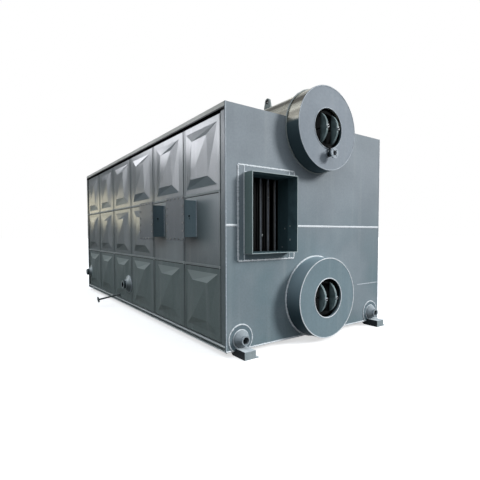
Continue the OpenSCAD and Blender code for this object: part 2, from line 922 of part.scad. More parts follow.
module access_boxes() {
    color(slate_grey) on_both_sides() at_boxes() difference() {
        block(rim_x, half_w + box_out, -box_w / 2, box_w / 2, -box_h / 2, box_h / 2);
        block(rim_x - cut, half_w + box_out + cut, -box_w / 2 + box_wall, box_w / 2 - box_wall,
            -box_h / 2 + box_wall, box_h / 2 - box_wall);
        translate([half_w + box_out / 2, -box_w / 2 + box_wall / 2, 0]) rotate([90, 0, 0])
            cylinder(d = sight_d, h = box_wall + cut, center = true);
    }
}

module access_covers() {
    color(panel_grey) on_both_sides() at_boxes()
        block(half_w + box_out, half_w + box_out + box_cover_t, -cover_w / 2, cover_w / 2,
            -cover_h / 2, cover_h / 2);
}

module side_nozzle() {
    rotate([0, 90, 0]) rotate_extrude()
        polygon([
            [nozzle_bore_r, frame_x], [nozzle_foot_r, frame_x], [nozzle_foot_r, half_w + nozzle_foot_out],
            [nozzle_neck_r, half_w + nozzle_cone_out], [nozzle_neck_r, half_w + nozzle_out],
            [nozzle_bore_r, half_w + nozzle_out]]);
}

module side_nozzles() {
    color(slate_grey) on_both_sides()
        for (y = nozzle_places)
            translate([0, y, base_z + nozzle_axis_h]) side_nozzle();
}

// The place where a drain passes the side face; X runs out along the falling pipe
module at_drain() {
    translate([half_w, -half_l + drain_y, base_z + drain_h]) rotate([0, drain_fall, 0]) children();
}

// The drain leaves the header and passes out through the lower panel
module drain_pipe() {
    difference() {
        at_drain() translate([drain_out, 0, 0]) rotate([0, -90, 0])
            flanged_pipe(drain_d, drain_out + header_inset,
                drain_flange_d, drain_flange_pcd, drain_bolt_hole_d);
        rod_y(header_r + fit, -half_l, half_l, header_x, header_z);
    }
    difference() {
        rod_x(drain_disc_d / 2, rim_x, half_w, -half_l + drain_y, base_z + drain_h);
        at_drain() rod_x(drain_d / 2 - sink, -header_inset / 2, drain_disc_d, 0, 0);
    }
}

module drain_pipes() {
    color(slate_grey) on_both_sides() drain_pipe();
}

front_plate();
rear_plate();
front_lining();
rear_lining();
floor_sheet();
left_roof_sheet();
right_roof_sheet();
left_base_channel();
right_base_channel();
left_frame();
right_frame();
left_top_panels();
left_middle_panels();
left_plain_panels();
left_lower_panels();
right_top_panels();
right_middle_panels();
right_plain_panels();
right_lower_panels();
upper_drum();
lower_drum();
drum_cladding();
lifting_lugs();
front_upper_collar();
front_lower_collar();
rear_upper_collar();
rear_lower_collar();
manhole_covers();
manhole_yokes();
manhole_nuts();
drum_vents();
left_header();
right_header();
header_rings();
front_left_foot();
front_right_foot();
rear_left_foot();
rear_right_foot();
flue_frame();
flue_duct();
convection_tubes();
access_boxes();
access_covers();
side_nozzles();
drain_pipes();
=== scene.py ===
"""The looks of a boiler body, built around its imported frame: paint, welds, trim and bolts."""
import json
import math
import random

import bmesh
import bpy
from mathutils import Matrix, Vector


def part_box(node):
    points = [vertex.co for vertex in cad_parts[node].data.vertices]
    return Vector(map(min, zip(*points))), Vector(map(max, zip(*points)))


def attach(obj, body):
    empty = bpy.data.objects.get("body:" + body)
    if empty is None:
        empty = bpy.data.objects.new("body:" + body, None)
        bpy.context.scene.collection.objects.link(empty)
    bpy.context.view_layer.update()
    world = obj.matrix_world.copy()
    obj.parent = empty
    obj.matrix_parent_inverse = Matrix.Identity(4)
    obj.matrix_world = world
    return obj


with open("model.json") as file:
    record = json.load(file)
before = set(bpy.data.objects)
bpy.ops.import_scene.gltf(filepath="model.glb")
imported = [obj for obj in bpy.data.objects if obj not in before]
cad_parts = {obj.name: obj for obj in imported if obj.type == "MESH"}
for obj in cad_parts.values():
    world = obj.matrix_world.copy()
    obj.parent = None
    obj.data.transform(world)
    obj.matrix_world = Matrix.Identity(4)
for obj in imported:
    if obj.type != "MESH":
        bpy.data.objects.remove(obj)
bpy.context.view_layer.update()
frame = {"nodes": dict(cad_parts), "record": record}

# Camera: the photograph's own view, worked out from the edges of the casing
IMAGE_SIDE = 480
FOCAL_PX = 360.3
OPTICAL_CENTRE_Y = 250
CAMERA_PLACE = Vector((-3.828, -6.894, 1.480))
CAMERA_YAW = 0.6207
CAMERA_PITCH = -0.0448
CAMERA_ROLL = -0.0022
SENSOR_W = 36

# Planes and places of the frame, in metres
PLATE_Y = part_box("front_plate")[0].y
HALF_L = -PLATE_Y
HALF_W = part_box("front_plate")[1].x
PLATE_Z0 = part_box("front_plate")[0].z
PLATE_Z1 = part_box("front_plate")[1].z
RIM_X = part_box("right_plain_panels")[1].x
UPPER_Z = sum(p.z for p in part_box("upper_drum")) / 2
LOWER_Z = sum(p.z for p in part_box("lower_drum")) / 2
HEADER_X = sum(p.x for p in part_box("right_header")) / 2
HEADER_Z = sum(p.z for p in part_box("right_header")) / 2
SEAM_YS = (-3.260, -2.300, -1.188, -0.076, 1.036, 2.148, 3.260)
SEAM_ZS = (0.153, 1.073, 1.993, 2.913)
CLADDING_R = 0.548
CLADDING_SEAM_YS = (-3.20, -1.60, 0.0, 1.60, 3.20)
COLLAR_OPENING_R = 0.263

# Access boxes: places of their middles, half sizes of boxes and covers
BOX_YS = (-2.448, -1.413)
BOX_HALF_W, BOX_HALF_H = 0.215, 0.240
COVER_HALF_W, COVER_HALF_H = 0.275, 0.295

# Side nozzles
NOZZLE_YS = (0.085, 3.003)
NOZZLE_Z = 0.505
NOZZLE_CONE_OUT = 0.070
NOZZLE_FOOT_R, NOZZLE_NECK_R, NOZZLE_BORE_R = 0.162, 0.080, 0.052

# Lifting lugs, vents and feet
LUG_Y = 2.325
LUG_EYE_Z, LUG_EYE_R = UPPER_Z + 0.718, 0.025
VENT_Z = UPPER_Z - 0.345
VENT_FLANGE_BACK = 3.688
VENT_FLANGE_T = 0.016
VENT_VALVE_IN = 0.086
FOOT_HALF_W, FOOT_PLATE_T = 0.0825, 0.012

# Ways in which trim stands out, and the signs of the two sides
FRONT, REAR, LEFT, RIGHT, UP = (0, -1, 0), (0, 1, 0), (-1, 0, 0), (1, 0, 0), (0, 0, 1)
SIDES = (-1, 1)


# Materials

SHADER_INPUTS = {"gloss": "Specular IOR Level", "coat": "Coat Weight", "coat_rough": "Coat Roughness",
                 "metal": "Metallic", "bump": "Normal"}
FINE_FILM, COARSE_FILM = 0.02, 0.05


class Graph:
    """The node tree of a new material or world, with short calls to add and join nodes."""

    def __init__(self, name, kind="materials"):
        self.owner = getattr(bpy.data, kind).new(name)
        self.owner.use_nodes = True
        self.tree = self.owner.node_tree
        self.tree.nodes.clear()
        texture = self.add("ShaderNodeTexCoord").outputs
        self.coords, self.direction = texture["Object"], texture["Generated"]
        self.normal = texture["Normal"]

    def feed(self, socket, value):
        if isinstance(value, bpy.types.NodeSocket):
            self.tree.links.new(value, socket)
        else:
            socket.default_value = value

    def add(self, kind, inputs=None, **settings):
        node = self.tree.nodes.new(kind)
        for key, value in settings.items():
            setattr(node, key, value)
        for key, value in (inputs or {}).items():
            self.feed(node.inputs[key], value)
        return node

    def math(self, operation, a, b=0.0):
        return self.add("ShaderNodeMath", {0: a, 1: b}, operation=operation).outputs[0]

    def plus(self, a, b):
        return self.math("ADD", a, b)

    def minus(self, a, b):
        return self.math("SUBTRACT", a, b)

    def times(self, a, b):
        return self.math("MULTIPLY", a, b)

    def over(self, a, b):
        return self.math("GREATER_THAN", a, b)

    def size(self, value):
        return self.math("ABSOLUTE", value)

    def distance(self, a, b):
        return self.math("SQRT", self.plus(self.times(a, a), self.times(b, b)))

    def axis(self, letter):
        return self.add("ShaderNodeSeparateXYZ", {0: self.coords}).outputs[letter]

    def facing(self, letter):
        """How far the surface faces along an axis, from -1 to 1."""
        return self.add("ShaderNodeSeparateXYZ", {0: self.normal}).outputs[letter]

    def noise(self, scale, detail=2.0, stretch=(1, 1, 1)):
        """Noise from 0 to 1 whose grain is scale per metre, longer along axes of small stretch."""
        place = self.add("ShaderNodeMapping", {"Vector": self.coords, "Scale": stretch}).outputs[0]
        inputs = {"Vector": place, "Scale": scale, "Detail": detail}
        return self.add("ShaderNodeTexNoise", inputs).outputs["Fac"]

    def between(self, value, low, high, to_low=0.0, to_high=1.0):
        """value mapped from low..high to to_low..to_high, smooth and clamped."""
        inputs = {"Value": value, "From Min": low, "From Max": high, "To Min": to_low, "To Max": to_high}
        return self.add("ShaderNodeMapRange", inputs, interpolation_type="SMOOTHSTEP").outputs[0]

    def roughness(self, mottle, middle, spread=0.12):
        """Roughness of sprayed paint, a little uneven with its mottle."""
        return self.between(mottle, 0.25, 0.75, middle - 0.05, middle - 0.05 + spread)

    def mix(self, factor, a, b, blend="MIX"):
        node = self.add("ShaderNodeMix", data_type="RGBA", blend_type=blend)
        for key, value in (("Factor", factor), ("A", a), ("B", b)):
            self.feed(next(s for s in node.inputs if s.name == key and s.enabled), value)
        return next(s for s in node.outputs if s.enabled)

    def bump(self, height, strength, distance, under=None):
        inputs = {"Height": height, "Strength": strength, "Distance": distance}
        if under is not None:
            inputs["Normal"] = under
        return self.add("ShaderNodeBump", inputs).outputs[0]

    def surface(self, base, rough, **more):
        """A Principled shader; more holds its other inputs by the short names in SHADER_INPUTS."""
        inputs = {"Base Color": base, "Roughness": rough}
        inputs.update((SHADER_INPUTS[key], value) for key, value in more.items())
        return self.add("ShaderNodeBsdfPrincipled", inputs).outputs[0]

    def glow(self, colour, strength):
        return self.add("ShaderNodeEmission", {"Color": colour, "Strength": strength}).outputs[0]

    def blend(self, share, a, b):
        """Shader a, giving way to shader b where share is 1."""
        return self.add("ShaderNodeMixShader", {0: share, 1: a, 2: b}).outputs[0]

    def finish(self, shader, output="ShaderNodeOutputMaterial"):
        self.add(output, {"Surface": shader})
        return self.owner


def srgb(red, green, blue):
    """A colour as the eye reads it, 0 to 255, to the renderer's linear values."""
    return tuple((c / 255 / 12.92 if c / 255 <= 0.04045 else ((c / 255 + 0.055) / 1.055) ** 2.4)
                 for c in (red, green, blue)) + (1.0,)


def shade(colour, factor):
    return tuple(c * factor for c in colour[:3]) + (1.0,)


def sprayed(g, colour, grime_and_top_light=0.3, low_colour=None):
    """Sprayed paint, mottled, streaked, lighter where it looks up (dusty, and a painted light from above)
    and specked with dirt below: its base colour and its mottle.
    """
    height = g.axis("Z")
    base = g.mix(g.between(height, 0.6, 2.6), low_colour or colour, colour)
    mottle = g.noise(1.7, 4.0)
    base = g.mix(g.between(mottle, 0.3, 0.7, 0.0, 0.5), base, shade(colour, 0.82))
    base = g.mix(g.between(g.noise(0.9, 3.0), 0.42, 0.65, 0.0, 0.4), base, shade(colour, 1.18))
    grain = g.between(g.noise(38.0, 4.0), 0.35, 0.65, 0.0, 0.28)
    base = g.mix(grain, base, (0.78, 0.79, 0.78, 1), "MULTIPLY")
    streaks = g.noise(9.0, 3.0, (1.0, 1.0, 0.06))
    base = g.mix(g.between(streaks, 0.5, 0.8, 0.0, 0.35 * grime_and_top_light), base, srgb(196, 200, 200))
    # Faces that look up turn lighter: partly dusty, partly a painted light from above.
    dust_and_top_light = g.times(g.between(g.facing("Z"), 0.3, 0.95), 0.5 * grime_and_top_light)
    base = g.mix(dust_and_top_light, base, srgb(176, 178, 174))
    specks = g.between(g.noise(60.0, 2.0), 0.55, 0.75)
    dirt = g.times(specks, g.between(height, 0.05, 0.9, 1.0, 0.1))
    return g.mix(g.times(dirt, grime_and_top_light), base, srgb(70, 66, 56)), mottle


def film_bump(g, film, waves=0.0):
    """The fine bump of a sprayed film, over the long waves of a thin sheet."""
    bump = g.bump(g.noise(140.0, 2.0), film, 0.002)
    if not waves:
        return bump
    return g.bump(g.noise(2.4, 1.0, (1.0, 1.0, 0.3)), 1.0, waves, bump)


def paint(name, colour, low_colour=None, rough=0.4, gloss=0.5, coat=0.0, coat_rough=0.14, grime_and_top_light=0.3,
          waves=0.0):
    """Sprayed paint. colour is the paint high up and low_colour near the floor."""
    g = Graph(name)
    base, mottle = sprayed(g, colour, grime_and_top_light, low_colour)
    return g.finish(g.surface(base, g.roughness(mottle, rough), gloss=gloss, coat=coat,
                              coat_rough=coat_rough, bump=film_bump(g, FINE_FILM, waves)))


def flank_paint(name, colour, flank_painted_light, far_flank_painted_light, facing, rough, gloss, coat, grime_and_top_light):
    """Glossy paint of pressed panels, duller on the flanks that face up (facing 1) or down (-1).

    Their colour, at the front and at the rear of the wall, is a painted reflection of the surroundings.
    """
    g = Graph(name)
    base, mottle = sprayed(g, colour, grime_and_top_light)
    on_flank = g.between(g.times(g.facing("Z"), facing), 0.07, 0.12)
    flank_painted_light = g.mix(g.between(g.axis("Y"), -0.15, 0.15), flank_painted_light, far_flank_painted_light)
    bump = film_bump(g, FINE_FILM, 0.004)
    glossy = g.surface(base, g.roughness(mottle, rough), gloss=gloss, coat=coat, coat_rough=0.14, bump=bump)
    # The flanks' colour is a painted reflection, on a dull shader.
    dull = g.surface(g.mix(0.8, base, flank_painted_light), 0.6, gloss=0.1, bump=bump)
    return g.finish(g.blend(on_flank, glossy, dull))


def collar_paint(name, front, side, side_lit_top, sky_reflection_above=None):
    """Paint of a collar: its front like the plate, its side in painted shade, and above a level a shiny
    sheet as a painted reflection of the sky.
    """
    g = Graph(name)
    base, mottle = sprayed(g, front)
    # The side is in painted shade: darkest where it faces down, lighter where it faces up.
    on_side = g.between(g.size(g.facing("Y")), 0.3, 0.7, 1.0, 0.0)
    below = g.mix(g.between(g.facing("Z"), -0.5, 0.75), side, side_lit_top)
    rough = g.roughness(mottle, 0.61)
    bump = film_bump(g, FINE_FILM)
    shader = g.blend(on_side, g.surface(base, rough, gloss=0.18, bump=bump),
                     g.surface(below, rough, gloss=0.06, bump=bump))
    if sky_reflection_above is not None:
        # Above the level the side turns to shiny sheet, a painted reflection of the sky.
        edge = g.plus(g.axis("Z"), g.times(g.noise(3.0), 0.03))
        painted_sky_reflection = g.times(on_side, g.between(edge, sky_reflection_above, sky_reflection_above + 0.08))
        shader = g.blend(painted_sky_reflection, shader, sheet_shader(g, 8.0))
    return g.finish(shader)


def weld_paint(name, colour):
    """A brushed coat over a weld, lighter than the sprayed plate."""
    g = Graph(name)
    grain = g.noise(90.0, 3.0)
    base = g.mix(g.between(grain, 0.35, 0.7), colour, shade(colour, 0.75))
    return g.finish(g.surface(base, 0.45, bump=g.bump(grain, 0.3, 0.003)))


def sheet_shader(g, turn=0.0):
    """Plain shiny sheet with rolling marks along the drum, and darker bands at set angles round its axis,
    turned by an angle.
    """
    marks = g.noise(30.0, 2.0, (1.0, 0.04, 1.0))
    base = g.mix(g.between(marks, 0.3, 0.7), srgb(198, 196, 180), srgb(180, 178, 164))
    across, up = g.size(g.axis("X")), g.minus(g.axis("Z"), UPPER_Z)
    angle = g.math("DEGREES", g.math("ARCTAN2", across, up))
    for middle, half, depth in ((47.0, 9.0, 0.95), (70.0, 8.0, 0.7), (22.0, 8.0, 0.4)):
        off = g.size(g.minus(angle, middle + turn))
        base = g.mix(g.between(off, half * 0.3, half, depth, 0.0), base, srgb(104, 100, 88))
    waves = g.bump(g.noise(1.2, 1.0, (1.0, 0.2, 1.0)), 0.4, 0.02)
    return g.surface(base, g.between(marks, 0.3, 0.7, 0.26, 0.34), metal=0.6, bump=waves)


def bright_sheet(name):
    g = Graph(name)
    return g.finish(sheet_shader(g))


def bare_steel(name, colour, rough=0.4):
    """Machined or plated steel of small fasteners, a little stained."""
    g = Graph(name)
    base = g.mix(g.between(g.noise(30.0, 3.0), 0.4, 0.7), colour, shade(colour, 0.5))
    return g.finish(g.surface(base, rough, metal=0.8))


def soot_and_shade_paint(name, colour, dark, y_dark, y_light, rough, gloss, left_shade=False):
    """Paint that darkens from place y_light to y_dark, both counted from the middle: soot, and a painted
    shade deeper in.

    With the left flag it is darker too where it faces to the left, a painted shade.
    """
    g = Graph(name)
    free_of_soot_and_shade = g.between(g.size(g.axis("Y")), y_dark, y_light)
    if left_shade:
        free_of_soot_and_shade = g.times(free_of_soot_and_shade, g.between(g.facing("X"), -0.55, 0.0))
    base = g.mix(free_of_soot_and_shade, dark, colour)
    base = g.mix(g.between(g.noise(12.0, 3.0), 0.4, 0.7, 0.0, 0.4), base, shade(dark, 0.7))
    return g.finish(g.surface(base, rough, gloss=gloss, bump=film_bump(g, COARSE_FILM)))


def duct_paint(name, outside, inside, rim_highlight):
    """Paint of the flue duct: soot inside, with a light front edge, a painted highlight."""
    lo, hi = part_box("flue_duct")
    skin = 0.004
    half_w, half_h = (hi.x - lo.x) / 2 - skin, (hi.z - lo.z) / 2 - skin
    g = Graph(name)
    across = g.size(g.minus(g.axis("X"), (lo.x + hi.x) / 2))
    up = g.size(g.minus(g.axis("Z"), (lo.z + hi.z) / 2))
    past = g.math("MAXIMUM", g.minus(across, half_w), g.minus(up, half_h))
    soot = g.mix(g.between(g.noise(6.0, 3.0), 0.4, 0.7), inside, shade(inside, 0.75))
    base = g.mix(g.over(past, 0.0), soot, sprayed(g, outside)[0])
    # Light front faces: a painted highlight along the duct's edge.
    base = g.mix(g.math("LESS_THAN", g.axis("Y"), lo.y + 0.001), base, rim_highlight)
    return g.finish(g.surface(base, 0.55, gloss=0.15, bump=film_bump(g, COARSE_FILM)))


def eave_shadow_paint(name, colour, dark_above):
    """Panel paint, but dull and black in the gap under the roof's edge, a painted shade."""
    g = Graph(name)
    base, mottle = sprayed(g, colour)
    bump = film_bump(g, FINE_FILM)
    glossy = g.surface(base, g.roughness(mottle, 0.4), gloss=0.2, coat=0.3, coat_rough=0.14, bump=bump)
    painted_shade = g.surface(srgb(12, 13, 14), 0.9, gloss=0.05, bump=bump)
    return g.finish(g.blend(g.between(g.axis("Z"), dark_above - 0.01, dark_above + 0.01), glossy, painted_shade))


def nozzle_paint(name, light, dark):
    """A side nozzle: light cone, darker below, dark neck with a light end, and a black bore; the three
    darks are painted shade.
    """
    g = Graph(name)
    base, mottle = sprayed(g, light)
    # Darker where it faces down: a painted shade.
    base = g.mix(g.between(g.facing("Z"), -0.2, 0.5, 0.75, 0.0), base, dark)
    out = g.size(g.axis("X"))
    # Dark along the neck: a painted shade.
    base = g.mix(g.over(out, HALF_W + NOZZLE_CONE_OUT + 0.002), base, dark)
    base = g.mix(g.over(out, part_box("side_nozzles")[1].x - 0.003), base, light)
    up = g.minus(g.axis("Z"), NOZZLE_Z)
    front, rear = (g.distance(g.minus(g.axis("Y"), y), up) for y in NOZZLE_YS)
    # The bore is black: a painted shade.
    in_bore = g.math("LESS_THAN", g.math("MINIMUM", front, rear), NOZZLE_BORE_R + 0.001)
    base = g.mix(in_bore, base, srgb(8, 9, 9))
    return g.finish(g.surface(base, g.roughness(mottle, 0.45, 0.15), gloss=0.3, coat=0.2, coat_rough=0.2,
                              bump=film_bump(g, COARSE_FILM)))


def lug_paint(name, colour):
    """Dark paint of a lifting lug, black round its eye, a painted shade of the hole."""
    g = Graph(name)
    base, mottle = sprayed(g, colour, 0.2)
    far = g.distance(g.minus(g.size(g.axis("Y")), LUG_Y), g.minus(g.axis("Z"), LUG_EYE_Z))
    # Black round the eye: a painted shade of the hole.
    base = g.mix(g.between(far, LUG_EYE_R + 0.003, LUG_EYE_R + 0.02), srgb(8, 8, 8), base)
    return g.finish(g.surface(base, g.roughness(mottle, 0.55), gloss=0.15, bump=film_bump(g, COARSE_FILM)))


def header_paint(name, colour, low):
    """A header: plain paint, darker where its face looks down, a painted shade."""
    g = Graph(name)
    base, mottle = sprayed(g, colour)
    # Darker where it faces down: a painted shade.
    base = g.mix(g.between(g.facing("Z"), -0.5, 0.25, 0.85, 0.0), base, low)
    return g.finish(g.surface(base, g.roughness(mottle, 0.4), gloss=0.4, coat=0.3, coat_rough=0.15,
                              bump=film_bump(g, COARSE_FILM)))


def eave_paint(name, colour, dark, painted_shade_below):
    """The roof's folded edge, black along its lower edge, a painted shade."""
    g = Graph(name)
    base, mottle = sprayed(g, colour, 0.5)
    # Black along the lowest strip: a painted shade under the roof's edge.
    base = g.mix(g.between(g.axis("Z"), painted_shade_below - 0.004, painted_shade_below + 0.004), dark, base)
    return g.finish(g.surface(base, g.roughness(mottle, 0.5), gloss=0.3, bump=film_bump(g, FINE_FILM)))


def foot_paint(name, face, flank_painted_light, top):
    """A foot: darker flanks and a lighter top, a painted shade and a painted light."""
    g = Graph(name)
    base, mottle = sprayed(g, face, 0.5)
    # Flanks facing sideways are darker: a painted shade.
    base = g.mix(g.between(g.size(g.facing("X")), 0.5, 0.8), base, flank_painted_light)
    # Faces looking up are lighter: a painted light.
    base = g.mix(g.between(g.facing("Z"), 0.5, 0.9), base, top)
    return g.finish(g.surface(base, g.roughness(mottle, 0.6), gloss=0.15, bump=film_bump(g, COARSE_FILM)))


def box_paint(name, colour, second, from_y):
    """The access boxes: the second one on each side is darker."""
    g = Graph(name)
    base, mottle = sprayed(g, colour)
    base = g.mix(g.over(g.axis("Y"), from_y), base, g.mix(0.9, base, second))
    return g.finish(g.surface(base, g.roughness(mottle, 0.5), gloss=0.3, bump=film_bump(g, FINE_FILM)))


def vent_paint(name, light, dark):
    """The vent's flange is light and its pipe and valve are dark."""
    g = Graph(name)
    base, mottle = sprayed(g, light, 0.2)
    behind = g.mix(g.between(mottle, 0.3, 0.7), dark, shade(dark, 0.6))
    base = g.mix(g.over(g.size(g.axis("Y")), VENT_FLANGE_BACK), behind, base)
    return g.finish(g.surface(base, g.roughness(mottle, 0.5, 0.15), gloss=0.3,
                              bump=film_bump(g, COARSE_FILM)))


PLATE = paint("plate_paint", srgb(146, 155, 162), srgb(112, 132, 139), rough=0.62, gloss=0.18)
# The collars' side colours are painted shade; the upper one's sheet above 2.92 m is a painted reflection of
# the sky.
UPPER_COLLAR = collar_paint("upper_collar_paint", srgb(146, 155, 164), srgb(64, 79, 85), srgb(88, 103, 107),
                            sky_reflection_above=2.92)
LOWER_COLLAR = collar_paint("lower_collar_paint", srgb(120, 139, 147), srgb(60, 77, 84),
                            srgb(150, 168, 176))
# The top row's flank colours are painted reflections, cream on the rear half.
TOP_PANEL = flank_paint("top_panel_paint", srgb(112, 121, 123), srgb(146, 156, 160), srgb(226, 228, 216),
                        facing=-1, rough=0.36, gloss=0.3, coat=0.8, grime_and_top_light=0.3)
LOWER_PANEL = paint("lower_panel_paint", srgb(114, 124, 126), srgb(108, 120, 120), rough=0.4, gloss=0.2,
                    coat=0.8, waves=0.004)
PLAIN_PANEL = paint("plain_panel_paint", srgb(138, 149, 152), srgb(82, 92, 92), rough=0.45, gloss=0.2,
                    coat=0.8, coat_rough=0.32, waves=0.004)
# The lowest row's flanks that look up take a lighter painted reflection.
FLOOR_PANEL = flank_paint("floor_panel_paint", srgb(117, 130, 129), srgb(158, 168, 166),
                          srgb(158, 168, 166), facing=1, rough=0.45, gloss=0.2, coat=0.35, grime_and_top_light=0.4)
JOINT_PAINT = paint("joint_paint", srgb(150, 158, 158), rough=0.5, gloss=0.3)
# The lug is black round its eye, a painted shade of the hole.
LUG_PAINT = lug_paint("lug_paint", srgb(118, 126, 126))
# The sill strips' near-white is a painted highlight.
SILL_HIGHLIGHT_PAINT = paint("sill_highlight_paint", srgb(236, 242, 242), rough=0.5, grime_and_top_light=0.2)
SEAL_PAINT = paint("seal_paint", srgb(112, 122, 122), rough=0.6, gloss=0.15)
RING_PAINT = paint("ring_paint", srgb(108, 124, 132), rough=0.6, gloss=0.18)
# The header's darker colour where it faces down is a painted shade.
HEADER_PAINT = header_paint("header_paint", srgb(156, 167, 174), srgb(64, 74, 78))
BLACK_PAINT = paint("black_paint", srgb(12, 14, 16), rough=0.6, gloss=0.1, grime_and_top_light=0.1)
# The eave's black lower strip is a painted shade.
EAVE = eave_paint("eave_paint", srgb(214, 214, 206), srgb(14, 15, 15),
                  painted_shade_below=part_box("left_roof_sheet")[0].z + 0.016)
FRAME_PAINT = eave_shadow_paint("frame_paint", srgb(114, 124, 126), dark_above=2.918)
CHANNEL_PAINT = paint("channel_paint", srgb(150, 160, 160), rough=0.5)
# The foot's dark flanks are a painted shade and its light top a painted light.
FOOT_PAINT = foot_paint("foot_paint", srgb(150, 162, 166), srgb(40, 46, 50), srgb(216, 224, 228))
# The duct's light front edge is a painted highlight.
DUCT_PAINT = duct_paint("duct_paint", srgb(124, 142, 140), srgb(88, 112, 119), srgb(176, 190, 190))
BOX_PAINT = box_paint("box_paint", srgb(134, 154, 162), srgb(92, 110, 118), from_y=-1.9)
COVER_PAINT = paint("cover_paint", srgb(106, 113, 117), rough=0.5, gloss=0.2, coat=0.3)
# The nozzle's darker underside, dark neck and black bore are painted shade.
NOZZLE_PAINT = nozzle_paint("nozzle_paint", srgb(164, 176, 178), srgb(60, 70, 72))
DRAIN_PAINT = paint("drain_paint", srgb(78, 88, 90), rough=0.45, gloss=0.3, grime_and_top_light=0.6)
VENT_PAINT = vent_paint("vent_paint", srgb(166, 176, 184), srgb(54, 66, 74))
# The yokes darken deeper in the collar: a painted shade.
YOKE_PAINT = soot_and_shade_paint("yoke_paint", srgb(122, 140, 142), srgb(14, 18, 18), 3.50, 3.62, rough=0.4, gloss=0.15)
NUT_PAINT = paint("nut_paint", srgb(200, 208, 212), rough=0.35)
# The tubes darken deeper in the duct with soot and a painted shade, and where they face left, a painted
# shade.
TUBE_PAINT = soot_and_shade_paint("tube_paint", srgb(184, 192, 200), srgb(10, 12, 12), 3.035, 3.095, rough=0.3, gloss=0.5,
                   left_shade=True)
# Near black: the drums, manhole rings and covers show only deep in the collars' openings, and the dark
# stands in for the shade there.
DARK_STEEL = paint("dark_steel", srgb(14, 16, 17), rough=0.8, gloss=0.05, grime_and_top_light=0.05)
LINING = paint("lining_sheet", srgb(66, 86, 92), rough=0.7, gloss=0.1, grime_and_top_light=0.1)
CLADDING = bright_sheet("cladding_sheet")
WHITE_WELD = weld_paint("white_weld", srgb(232, 238, 242))
GREY_WELD = weld_paint("grey_weld", srgb(188, 198, 206))
DARK_WELD = weld_paint("dark_weld", srgb(104, 114, 118))
BLACK_METAL = bare_steel("black_metal", srgb(26, 30, 34), rough=0.5)
BOLT_STEEL = bare_steel("bolt_steel", srgb(150, 152, 150))
BRIGHT_SPECK = bare_steel("bright_speck", srgb(235, 238, 236), rough=0.3)

SLOT_PAINT = {
    "plate": PLATE, "panel": LOWER_PANEL, "collar": UPPER_COLLAR, "frame": FRAME_PAINT, "foot": FOOT_PAINT,
    "duct": DUCT_PAINT, "box": BOX_PAINT, "yoke": YOKE_PAINT, "tube": TUBE_PAINT,
    "pressure_steel": DARK_STEEL, "lining": LINING, "cladding": CLADDING,
}
NODE_PAINT = {
    "left_top_panels": TOP_PANEL, "right_top_panels": TOP_PANEL, "access_covers": COVER_PAINT,
    "left_plain_panels": PLAIN_PANEL, "right_plain_panels": PLAIN_PANEL,
    "left_lower_panels": FLOOR_PANEL, "right_lower_panels": FLOOR_PANEL,
    "side_nozzles": NOZZLE_PAINT, "drain_pipes": DRAIN_PAINT, "header_rings": RING_PAINT,
    "left_header": HEADER_PAINT, "right_header": HEADER_PAINT,
    "left_base_channel": CHANNEL_PAINT, "right_base_channel": CHANNEL_PAINT,
    "left_roof_sheet": EAVE, "right_roof_sheet": EAVE, "manhole_nuts": NUT_PAINT,
    "front_lower_collar": LOWER_COLLAR, "rear_lower_collar": LOWER_COLLAR,
    "lifting_lugs": LUG_PAINT, "drum_vents": VENT_PAINT,
}


def dress_cad_nodes():
    slots = {row["node"]: row["material_slot"] for row in frame["record"]["subparts"]}
    for name, node in frame["nodes"].items():
        material = NODE_PAINT.get(name) or SLOT_PAINT[slots[name]]
        node.data.materials.clear()
        node.data.materials.append(material)


# Mesh helpers: each shape is a pair of lists, its points and its faces

POINT_STEP = 0.012
BEAD_PROFILE = ((-0.5, 0.0), (-0.38, 0.62), (-0.14, 0.95), (0.14, 0.95), (0.38, 0.62), (0.5, 0.0))


def joined(shapes):
    points, faces = [], []
    for shape_points, shape_faces in shapes:
        start = len(points)
        points.extend(shape_points)
        faces.extend([tuple(i + start for i in face) for face in shape_faces])
    return points, faces


def mirrored(shape, x=False, y=False):
    points, faces = shape
    sx, sy = (-1 if x else 1), (-1 if y else 1)
    return [Vector((p.x * sx, p.y * sy, p.z)) for p in points], faces


def both_ends(shapes):
    return shapes + [mirrored(s, y=True) for s in shapes]


def both_sides(shapes):
    return shapes + [mirrored(s, x=True) for s in shapes]


def new_object(name, points, faces, material):
    mesh = bpy.data.meshes.new(name)
    mesh.from_pydata([tuple(p) for p in points], [], faces)
    mesh.update()
    mesh.materials.append(material)
    obj = bpy.data.objects.new(name, mesh)
    bpy.context.scene.collection.objects.link(obj)
    return obj


def piece(name, shapes, material, smooth=False):
    """One object made of several shapes, riding on the body."""
    obj = new_object(name, *joined(shapes), material)
    bm = bmesh.new()
    bm.from_mesh(obj.data)
    bmesh.ops.recalc_face_normals(bm, faces=bm.faces)
    bm.to_mesh(obj.data)
    bm.free()
    if smooth:
        obj.data.shade_smooth()
    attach(obj, "root")


def side_pieces(rows):
    """Shapes of the right wall as pieces: first their mirror images on the left wall, then themselves.

    A row holds a name, the shapes, the paint, the slot and whether the piece is smooth.
    """
    for side, flip in (("left", True), ("right", False)):
        for name, shapes, material, slot, smooth in rows:
            piece(f"{side}_{name}", [mirrored(s, x=flip) for s in shapes], material, smooth)


